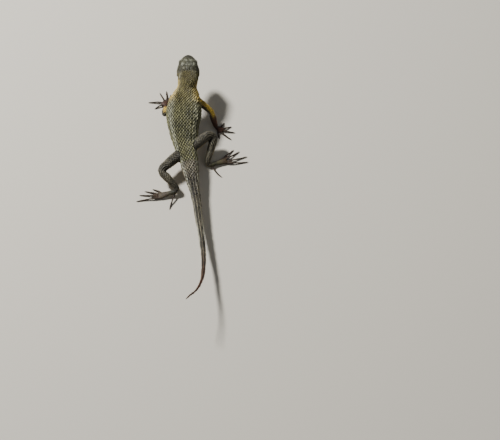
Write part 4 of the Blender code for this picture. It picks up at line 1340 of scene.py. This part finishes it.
def small_size(point):
    """Half the width of the small scales at a place on the head, and how far their tips stand off."""
    side = side_of(point)
    _, ahead, above = point - BROW
    size, tilt = SNOUT_SMALL if ahead > SNOUT_FROM else TEMPLE_SMALL
    if above < LOWER_FROM:
        size, tilt = LOWER_SMALL
    by_ear, by_eye = (np.linalg.norm(point - middles[side]) for middles in (EARS, EYES))
    for far, (reach, first) in ((ahead, TO_NAPE), (by_ear, BY_EAR), (by_eye, BY_EYE)):
        size = np.interp(far, reach, (first, size))
    return float(size), tilt


HEAD_TREE = {name: BVHTree.FromPolygons(*(x.tolist() for x in NODES[name])) for name in HEAD_NODES}


def mouth_gap(point):
    """How much nearer a point is to the jaw than to the upper head."""
    far = [HEAD_TREE[name].find_nearest(tuple(point))[3] for name in HEAD_NODES]
    return far[0] - far[1]


def mouth_line():
    """Places along the closed mouth from corner to corner, round the snout."""
    back = BROW[1] + MOUTH_CORNER
    near = np.array([
        point
        for point, label in zip(skin_points, skin_labels)
        if label == "head" and point[1] - back > -MOUTH_BEHIND and abs(mouth_gap(point)) < MOUTH_GAP
    ])
    across, ahead = near[:, 0] - BROW[0], near[:, 1] - back
    outside = np.hypot(across, ahead) > MOUTH_OUTSIDE
    near, angle = near[outside], np.arctan2(across, ahead)[outside]
    edges = np.linspace(-1.5, 1.5, MOUTH_PARTS + 1)
    chosen = [(angle >= low) & (angle < high) for low, high in zip(edges[:-1], edges[1:])]
    return relaxed(np.array([near[rows].mean(axis=0) for rows in chosen if rows.any()]), 3)


MOUTH = mouth_line()


def along_mouth(step):
    """Places at even steps along the mouth, out from the snout to both corners."""
    along = lengths_along(MOUTH)
    centre = along[np.argmax(MOUTH[:, 1])]
    count = int(min(centre, along[-1] - centre) / step)
    return at_lengths(centre + step * np.arange(-count, count + 1), along, MOUTH)


def leaf_place(point):
    """Whether the head carries overlapping scales here, rather than plates that meet."""
    _, ahead, above = point - BROW
    on_crown = above > CROWN_FROM and ahead > CROWN_BACK
    return (ahead < LEAF_BEHIND and not on_crown) or above < LEAF_BELOW


def leaf_scale(point, size):
    """A keeled scale behind the eyes, or a smooth one on the throat."""
    out = surface.nearest(point)[1]
    lie = lie_on_head(out)
    wide = size * 2
    roots = throat if point[2] - BROW[2] < THROAT_FROM else temples
    size = tuple(wide * share for share in LEAF_SIZE)
    roots.add(point - lie * LEAF_BACK * wide, out, lie, size, "head", *HEAD_LINE.place(point))


def nostril_place(side):
    ahead, out, up = NOSTRIL
    return surface.nearest(BROW + OUTWARD[side] * out + np.array([0, ahead, up]))


def fill_head(seeds):
    """Small plates and scales wherever there is room left on the head."""
    rng = np.random.default_rng(SEED)
    corners = skin_points[skin_triangles[face_label == "head"]]
    area = np.linalg.norm(crosses(corners), axis=1)
    by_eye = np.min([np.linalg.norm(corners.mean(axis=1) - EYES[side], axis=1) for side in SIDES], axis=0)
    area = area * (1 + EYE_TRIES * (by_eye < EYE_REACH))
    for index in rng.choice(len(area), FILL_TRIES, p=area / area.sum()):
        a, b = sorted(rng.random(2))
        point = corners[index].T @ np.array([a, b - a, 1 - b])
        side = side_of(point)
        size, tilt = small_size(point)
        kept_free = in_lids(point, side) or faces_eye(point, side) or in_ear(point, side)
        if kept_free or seeds.near(point, size):
            continue
        if leaf_place(point):
            seeds.keep_off(point, size)
            leaf_scale(point, size)
        else:
            seeds.add(point, size, tilt)


def head_seeds():
    seeds = Cells()
    for side in SIDES:
        for place in LID_EDGES[side]:
            seeds.keep_off(place, LID_ROOM)
        for place, _ in brow_row(side):
            seeds.keep_off(place, BROW_ROOM)
        seeds.keep_off(EARS[side] + OUTWARD[side] * EAR_OUT, EAR_HOLE)
        seeds.keep_off(nostril_place(side)[0], NOSTRIL_ROOM)
    for ahead, out, size in CROWN:
        for way in (-1, 1) if out else (1,):
            seeds.add(surface.cast(BROW + np.array([way * out, ahead, 12.0]), -SKY)[0], size)
    for place in along_mouth(LABIAL_LENGTH):
        hit, out = surface.nearest(place)
        up = unit(SKY - out * out[2])
        seeds.add(hit + up * LABIAL_OFF, LABIAL_SIZE)
        seeds.add(hit - up * LABIAL_OFF, LABIAL_SIZE)
    for place in along_mouth(MOUTH_STEP):
        seeds.keep_off(place, MOUTH_ROOM)
    fill_head(seeds)
    return seeds


def clipped(polygon, way, offset):
    """A polygon cut by the line at this offset along a way."""
    kept = []
    for a, b in zip(polygon, np.roll(polygon, -1, axis=0)):
        da, db = a @ way - offset, b @ way - offset
        if da <= 0:
            kept.append(a)
        if (da < 0) != (db < 0) and da != db:
            kept.append(a + (b - a) * da / (da - db))
    return np.array(kept)


def rounded(polygon, cut):
    """A polygon with a share of each side cut off at its corners."""
    after = np.roll(polygon, -1, axis=0)
    ends = [polygon * (1 - cut) + after * cut, polygon * cut + after * (1 - cut)]
    return np.stack(ends, axis=1).reshape(-1, 2)


def cell_outline(seeds, i, across, lie):
    """The outline of a seed's cell, flat on the skin, or None where its neighbours leave no room."""
    middle, size = seeds.points[i], seeds.sizes[i]
    middles, sizes = np.array(seeds.points), np.array(seeds.sizes)
    polygon = np.array([(math.cos(t), math.sin(t)) for t in on_circle(12)]) * size * CELL_REACH
    distance = np.linalg.norm(middles - middle, axis=1)
    for j in np.flatnonzero(distance < (size + sizes) * CELL_REACH):
        if j == i:
            continue
        off, far = middles[j] - middle, distance[j]
        flat = unit(np.array([off @ across, off @ lie]))
        polygon = clipped(polygon, flat, (far**2 + size**2 - sizes[j] ** 2) / (2 * far) - SEAM / 2)
        if len(polygon) < 3:
            return None
    polygon = rounded(polygon, CUT)
    return rounded(polygon, LARGE_CUT) if size > LARGE else polygon


def grow_plates(name, seeds, finish):
    """A closed plate on each cell, one piece."""
    rng = np.random.default_rng(SEED)
    points, faces, leaf, patch, values = [], [], [], [], []
    for i in np.flatnonzero(seeds.grows):
        middle, out, size = seeds.points[i], seeds.outs[i], seeds.sizes[i]
        lie = lie_on_head(out)
        across = np.cross(lie, out)
        polygon = cell_outline(seeds, i, across, lie)
        if polygon is None:
            continue
        centre, count, start = polygon.mean(axis=0), len(polygon), len(points)
        high = PLATE_HEIGHT + PLATE_HEIGHT_SHARE * size
        edge, top, middle_top = (high * share for share in PLATE_RINGS)
        rings = ((1.0, PLATE_SUNK), (1.0, edge), (1 - BEVEL / size, high), (0.5, top))
        s, turn = HEAD_LINE.place(middle)
        place = np.array(patch_place("head", s, turn))[:2]
        for number, (share, height) in enumerate(rings):
            for x, y in centre + (polygon - centre) * share:
                hit, normal = surface.nearest(middle + across * x + lie * y)
                points.append(hit + normal * (height + seeds.tilts[i] * (y / size) * (number > 0)))
                leaf.append((0.5, EDGE_LEAF if number < 2 else TOP_LEAF, 0.0))
                patch.append(place + np.clip((x / size, y / size), -1, 1) * PATCH_SIZE / 2)
        hit, normal = surface.nearest(middle + across * centre[0] + lie * centre[1])
        points.append(hit + normal * middle_top)
        leaf.append((0.5, MIDDLE_LEAF, 0.0))
        patch.append(place)
        values += [marks("head", s, turn, middle) | {"tone": rng.uniform(-1, 1)}] * (len(points) - start)
        faces += ring_faces(start, len(rings), count)
        top = start + (len(rings) - 1) * count
        faces += [(top + k, top + (k + 1) % count, len(points) - 1) for k in range(count)]
        faces.append(tuple(range(start + count - 1, start - 1, -1)))
    made = closed_object(name, points, faces)
    store(made.data, "leaf", "FLOAT_VECTOR", leaf)
    for key in (*MARKS, "tone"):
        store(made.data, key, "FLOAT", [value[key] for value in values])
    layer = made.data.uv_layers.new(name="OFBake")
    layer.data.foreach_set("uv", np.array(patch)[[loop.vertex_index for loop in made.data.loops]].ravel())
    return finished(made, finish)


def brow_scales():
    """Long scales that overlap in a ridge over each eye."""
    for side in SIDES:
        for point, out in brow_row(side):
            lie = unit(TO_TAIL + OUTWARD[side] * BROW_TURN)
            lie = unit(lie - out * (lie @ out))
            brows.add(point - out * 0.05, out, lie, BROW_SIZE, "head", *HEAD_LINE.place(point))


def ear_lobules():
    """Pointed scales that stand over the front edge of each ear."""
    for side in SIDES:
        for rise in LOBULES:
            ahead = math.sqrt(LOBULE_RING**2 - rise**2)
            place = EARS[side] + OUTWARD[side] * EAR_OUT + np.array([0, ahead, rise])
            hit, out = surface.nearest(place)
            lie = lie_on_head(out)
            out = unit(out + lie * LOBULE_LEAN)
            lie = unit(lie - out * (lie @ out))
            temples.add(hit, out, lie, LOBULE_SIZE, "head", *HEAD_LINE.place(hit))


# Eyes, lids, nostrils and claws

EYE_LOOK = {side: unit(OUTWARD[side] + np.array([0, 0.16, 0.12])) for side in SIDES}
EYE_SHARE, EYE_SIDES, EYE_RINGS = 0.99, 48, 40
# The iris: angles off the middle of the pupil as shares of half a turn, and colours
IRIS = ((0.0, "#030202"), (0.105, "#030202"), (0.12, "#a5803c"), (0.15, "#7d5a28"), (0.24, "#3e2913"))
IRIS += ((0.32, "#120c08"),)
LID_RIM, NOSTRIL_RIM, RIM_SIDES = 0.17, 0.09, 10
# A claw: how far past the digit it reaches, its radius, that of its tip, its width against its height,
# its arch, and how far its tip drops
CLAW_BEYOND, CLAW_SIDES, CLAW_RINGS = 0.3, 10, 9
CLAW_RADIUS, CLAW_TIP, CLAW_FLAT, CLAW_LIFT, CLAW_DROP = 0.35, 0.03, 0.8, 0.24, 0.1


def eye_finish():
    """A wet eye: clear cornea over a brown and gold iris with a round black pupil."""
    made, tree, shader, place = new_material("wet eye with golden iris")
    angle = add(tree, "ShaderNodeAttribute", out="Fac", attribute_name="off_pupil")
    inputs = {"Vector": place, "Scale": per_metre(IRIS_GRAIN), "Detail": 3.0}
    grain = add(tree, "ShaderNodeTexNoise", inputs, "Fac")
    ramp = add(tree, "ShaderNodeValToRGB", {"Fac": angle}, out=None)
    stops = ramp.color_ramp.elements
    while len(stops) < len(IRIS):
        stops.new(0.5)
    for k, (at, _) in enumerate(IRIS):
        stops[k].position = at
    for k, (_, colour) in enumerate(IRIS):
        stops[k].color = linear(colour)
    shade = add(tree, "ShaderNodeMapRange", {"Value": grain, "To Min": 0.6, "To Max": 1.4}, "Result")
    inputs = {0: ramp.outputs["Color"], "Scale": shade}
    colour = add(tree, "ShaderNodeVectorMath", inputs, operation="SCALE")
    tree.links.new(colour, shader.inputs["Base Color"])
    wet = {"Roughness": 0.3, "IOR": 1.38, "Specular IOR Level": 0.3}
    wet |= {"Coat Weight": 0.3, "Coat Roughness": 0.03}
    for name, value in wet.items():
        shader.inputs[name].default_value = value
    return made


def make_eye(side, finish):
    """An eyeball that carries, for each point, its angle off the pupil's middle."""
    low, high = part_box(f"eye_{side}")
    radius = (high[1] - low[1]) / 2 / MM * EYE_SHARE
    middle, look = EYES[side], EYE_LOOK[side]
    across = unit(np.cross(look, SKY))
    up = np.cross(across, look)
    turns = np.linspace(math.pi, 0, EYE_RINGS + 1)[1:-1]
    ways = [across * math.cos(a) + up * math.sin(a) for a in on_circle(EYE_SIDES)]
    points = [
        middle + look * radius * math.cos(t) + way * radius * math.sin(t) for t in turns for way in ways
    ]
    count = len(points)
    points += [middle - look * radius, middle + look * radius]
    faces = ring_faces(0, len(turns), EYE_SIDES)
    for k in range(EYE_SIDES):
        after = (k + 1) % EYE_SIDES
        faces.append((after, k, count))
        faces.append((count - EYE_SIDES + k, count - EYE_SIDES + after, count + 1))
    made = finished(new_object(f"eyeball_{side}", points, faces), finish)
    off = [math.acos(np.clip(unit(point - middle) @ look, -1, 1)) / math.pi for point in points]
    store(made.data, "off_pupil", "FLOAT", off)
    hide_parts(f"eye_{side}")


def tube(name, ring, radius, finish):
    """A closed ring of round section through these places."""
    centre = ring.mean(axis=0)
    points, faces = [], []
    count = len(ring)
    for i in range(count):
        along = unit(ring[(i + 1) % count] - ring[i - 1])
        out = ring[i] - centre
        out = unit(out - along * (out @ along))
        third = np.cross(along, out)
        for t in on_circle(RIM_SIDES):
            points.append(ring[i] + (out * math.cos(t) + third * math.sin(t)) * radius)
    for i in range(count):
        for k in range(RIM_SIDES):
            a, b, after = i * RIM_SIDES, ((i + 1) % count) * RIM_SIDES, (k + 1) % RIM_SIDES
            faces.append((a + k, b + k, b + after, a + after))
    return finished(closed_object(name, points, faces), finish)


def nostril_edge(side):
    """Places round a nostril."""
    middle, out = nostril_place(side)
    across = unit(np.cross(out, SKY))
    up = np.cross(across, out)
    ways = [across * math.cos(t) * NOSTRIL_LONG + up * math.sin(t) for t in on_circle(16)]
    return np.array([middle + way * NOSTRIL_WIDTH + out * NOSTRIL_OUT for way in ways])


def sunk(points, triangles):
    """The skin's points with the nostrils and the mouth's line pressed in, and how deep each lies."""
    depth = np.zeros(len(points))

    def press(chosen, far, hollow):
        deep, full, end = hollow
        depth[chosen] = np.maximum(depth[chosen], deep * (1 - smooth_step(full, end, far)))

    for side in SIDES:
        press(slice(None), np.linalg.norm(points - nostril_place(side)[0], axis=1), NOSTRIL_HOLLOW)
    on_head = np.flatnonzero(skin_labels == "head")
    off = points[on_head][:, None] - along_mouth(MOUTH_STEP / 2)[None]
    press(on_head, np.min(np.linalg.norm(off, axis=2), axis=1), MOUTH_HOLLOW)
    return points - vertex_normals(points, triangles) * depth[:, None], depth


def make_claws(finish):
    """A curved claw at the end of each finger and toe, one piece."""
    points, faces = [], []
    for chain in CHAINS:
        kind = kind_of(chain)
        if kind not in CLAW_LENGTH:
            continue
        line = LINES[chain]
        start = line.length - CLAW_LENGTH[kind]
        first = len(points)
        for f in np.arange(CLAW_RINGS) / (CLAW_RINGS - 1):
            s = start + f * (CLAW_LENGTH[kind] + CLAW_BEYOND)
            middle, back, right, up = line.at(min(s, line.length))
            middle = middle + back * max(0.0, s - line.length)
            radius = CLAW_RADIUS * (1 - f) ** 0.55 + CLAW_TIP
            lift = CLAW_LIFT * math.sin(f * math.pi) - CLAW_DROP * f * f
            for t in on_circle(CLAW_SIDES):
                beside = right * CLAW_FLAT * radius * math.cos(t)
                points.append(middle + up * (lift + radius * math.sin(t)) + beside)
        faces += ring_faces(first, CLAW_RINGS, CLAW_SIDES)
        faces.append(tuple(range(first + CLAW_SIDES - 1, first - 1, -1)))
        faces.append(tuple(range(len(points) - CLAW_SIDES, len(points))))
    finished(closed_object("claws", points, faces), finish)


def dress_skin(finish):
    """Presses the mouth and nostrils into the skin, marks it, darkens these hollows with painted shade, and
    puts it in place of the flesh.
    """
    pressed, depths = sunk(skin_points, skin_triangles)
    skin.data.vertices.foreach_set("co", (pressed * MM).ravel())
    skin.data.update()
    rows = zip(skin_labels, skin_places, skin_points)
    values = [marks(label, s, turn, point) for label, (s, turn, _), point in rows]
    for value, depth in zip(values, depths):
        # Painted shade in the pressed hollows of the mouth and nostrils, carried with the dark marks: the
        # deeper, the darker
        value["bar"] = max(value["bar"], min(1.0, depth * 5))
    for key in MARKS:
        store(skin.data, key, "FLOAT", [value[key] for value in values])
    finished(skin, finish)
    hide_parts(*FLESH)


HEAD_COLOURS = (("#464534", "#5b5943"), "#12110c")
TEMPLE_COLOURS = (("#4f4b36", "#6a6548"), "#12110b")
# Head shields: horn worn smooth, with a soft sheen, and dark seams of painted shade along their edges
HEAD_SHIELDS = scale_finish("smooth horny head shields", *HEAD_COLOURS, (0.2, 0.6, 0.05), 0.1, 1.05)
# Scales of the temples, warmer, with a low painted highlight on the keel
HEAD_SCALES = scale_finish("keeled head scales", *TEMPLE_COLOURS, (0.0, 0.6, 0.25), 1.0, 0.95)
# Brow scales, with a painted highlight on their edges that shows the ridge over the eye
BROW_SHIELDS = scale_finish("horny brow shields", *HEAD_COLOURS, (0.1, 0.7, 0.2), 0.4, 1.15)
# Throat scales, flat and smooth, with a soft painted shade at the root
THROAT_SCALES = scale_finish("smooth throat scales", *HEAD_COLOURS, (0.0, 0.7, 0.5), 0.1, 1.05)
WET_EYE = eye_finish()
# Lids and nostril rims: thin bare skin, dull and finely wrinkled
LID_SKIN = plain_finish("thin lid skin", ("#2c2a20", "#49463a"), LID_GRAIN, (0.5, 0.7), 0.05)
# The eardrum, stretched and a little shiny
EAR_SKIN = plain_finish("taut eardrum skin", ("#2b231a", "#3f3528"), DRUM_GRAIN, (0.3, 0.45), 0.05)
# Claws: dark horn, polished by use
CLAW_HORN = plain_finish("dark horn claws", ("#1d150e", "#3b2c1e"), HORN_GRAIN, (0.25, 0.4), 0.03)

grow_plates("head_plates", head_seeds(), HEAD_SHIELDS)
brow_scales()
ear_lobules()
grow_coat("brow_scales", brows, smooth, BROW_SHIELDS, (1.1, 2.0, 0.65))
grow_coat("temple_scales", temples, keeled, HEAD_SCALES, (1.15, 2.2, 0.36))
grow_coat("throat_scales", throat, smooth, THROAT_SCALES, (1.15, 2.2, 0.26))
for shape in (keeled, smooth):
    bpy.data.objects.remove(shape)
for side in SIDES:
    make_eye(side, WET_EYE)
    tube(f"lid_rim_{side}", LID_EDGES[side], LID_RIM, LID_SKIN)
    tube(f"nostril_rim_{side}", nostril_edge(side), NOSTRIL_RIM, LID_SKIN)
    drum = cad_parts[f"ear_{side}"].data
    drum.materials.clear()
    drum.materials.append(EAR_SKIN)
make_claws(CLAW_HORN)
dress_skin(THIN_SKIN)


# Stage, light and camera

FLOOR_HALF = 1500.0
CAMERA_AIM = Vector((0.0379, -0.0193, 0.0))
CAMERA_ELEVATION = math.radians(60)
CAMERA_DISTANCE = 1.6
SENSOR_WIDTH = 36
PHOTO_WIDTH = 500
PIXELS_PER_MM = 1.53
# Place, width and power of each lamp. The key stands ahead and to the left, as the photo's shadows show
KEY = (-0.68, 0.55, 0.95), 0.2, 31
FILL = (0.9, -0.6, 1.2), 1.2, 1.5
SKY_LIGHT = 0.16


def plain_stage():
    """A plain pale floor."""
    corners = [(x * FLOOR_HALF, y * FLOOR_HALF, 0) for x, y in ((-1, -1), (1, -1), (1, 1), (-1, 1))]
    floor = new_object("floor", corners, [(0, 1, 2, 3)])
    # Matt paper, without shine, so that only shadows show on it
    made, _, shader, _ = new_material("matt pale paper")
    shader.inputs["Base Color"].default_value = linear("#cfc9bb")
    shader.inputs["Roughness"].default_value = 0.9
    floor.data.materials.append(made)
    floor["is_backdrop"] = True


def lamp(name, place, size, power):
    """A round lamp that shines on the animal's middle."""
    light = bpy.data.lights.new(name, "AREA")
    light.shape = "DISK"
    light.size, light.energy = size, power
    made = bpy.data.objects.new(name, light)
    made.location = place
    made.rotation_euler = (-Vector(place)).to_track_quat("-Z", "Y").to_euler()
    bpy.context.scene.collection.objects.link(made)


def photo_camera():
    """A camera at the photo's angle, with a lens that gives the photo's scale."""
    lens = bpy.data.cameras.new("camera")
    lens.sensor_width = SENSOR_WIDTH
    lens.lens = SENSOR_WIDTH * CAMERA_DISTANCE / (PHOTO_WIDTH / PIXELS_PER_MM * MM)
    lens.clip_start, lens.clip_end = 0.05, 20
    made = bpy.data.objects.new("camera", lens)
    back = Vector((0, -math.cos(CAMERA_ELEVATION), math.sin(CAMERA_ELEVATION)))
    made.location = CAMERA_AIM + back * CAMERA_DISTANCE
    made.rotation_euler = (math.pi / 2 - CAMERA_ELEVATION, 0, 0)
    bpy.context.scene.collection.objects.link(made)
    bpy.context.scene.camera = made


def pale_world():
    """Weak light from all round, slightly blue."""
    world = bpy.data.worlds.new("studio")
    bpy.context.scene.world = world
    world.use_nodes = True
    sky = world.node_tree.nodes["Background"].inputs
    sky["Color"].default_value = linear("#dfe3ea")
    sky["Strength"].default_value = SKY_LIGHT


plain_stage()
lamp("key", *KEY)
lamp("fill", *FILL)
pale_world()
photo_camera()

boxes = {"cad": cad_box, "visual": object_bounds()}
{name: [[float(x) for x in corner] for corner in box] for name, box in boxes.items()}
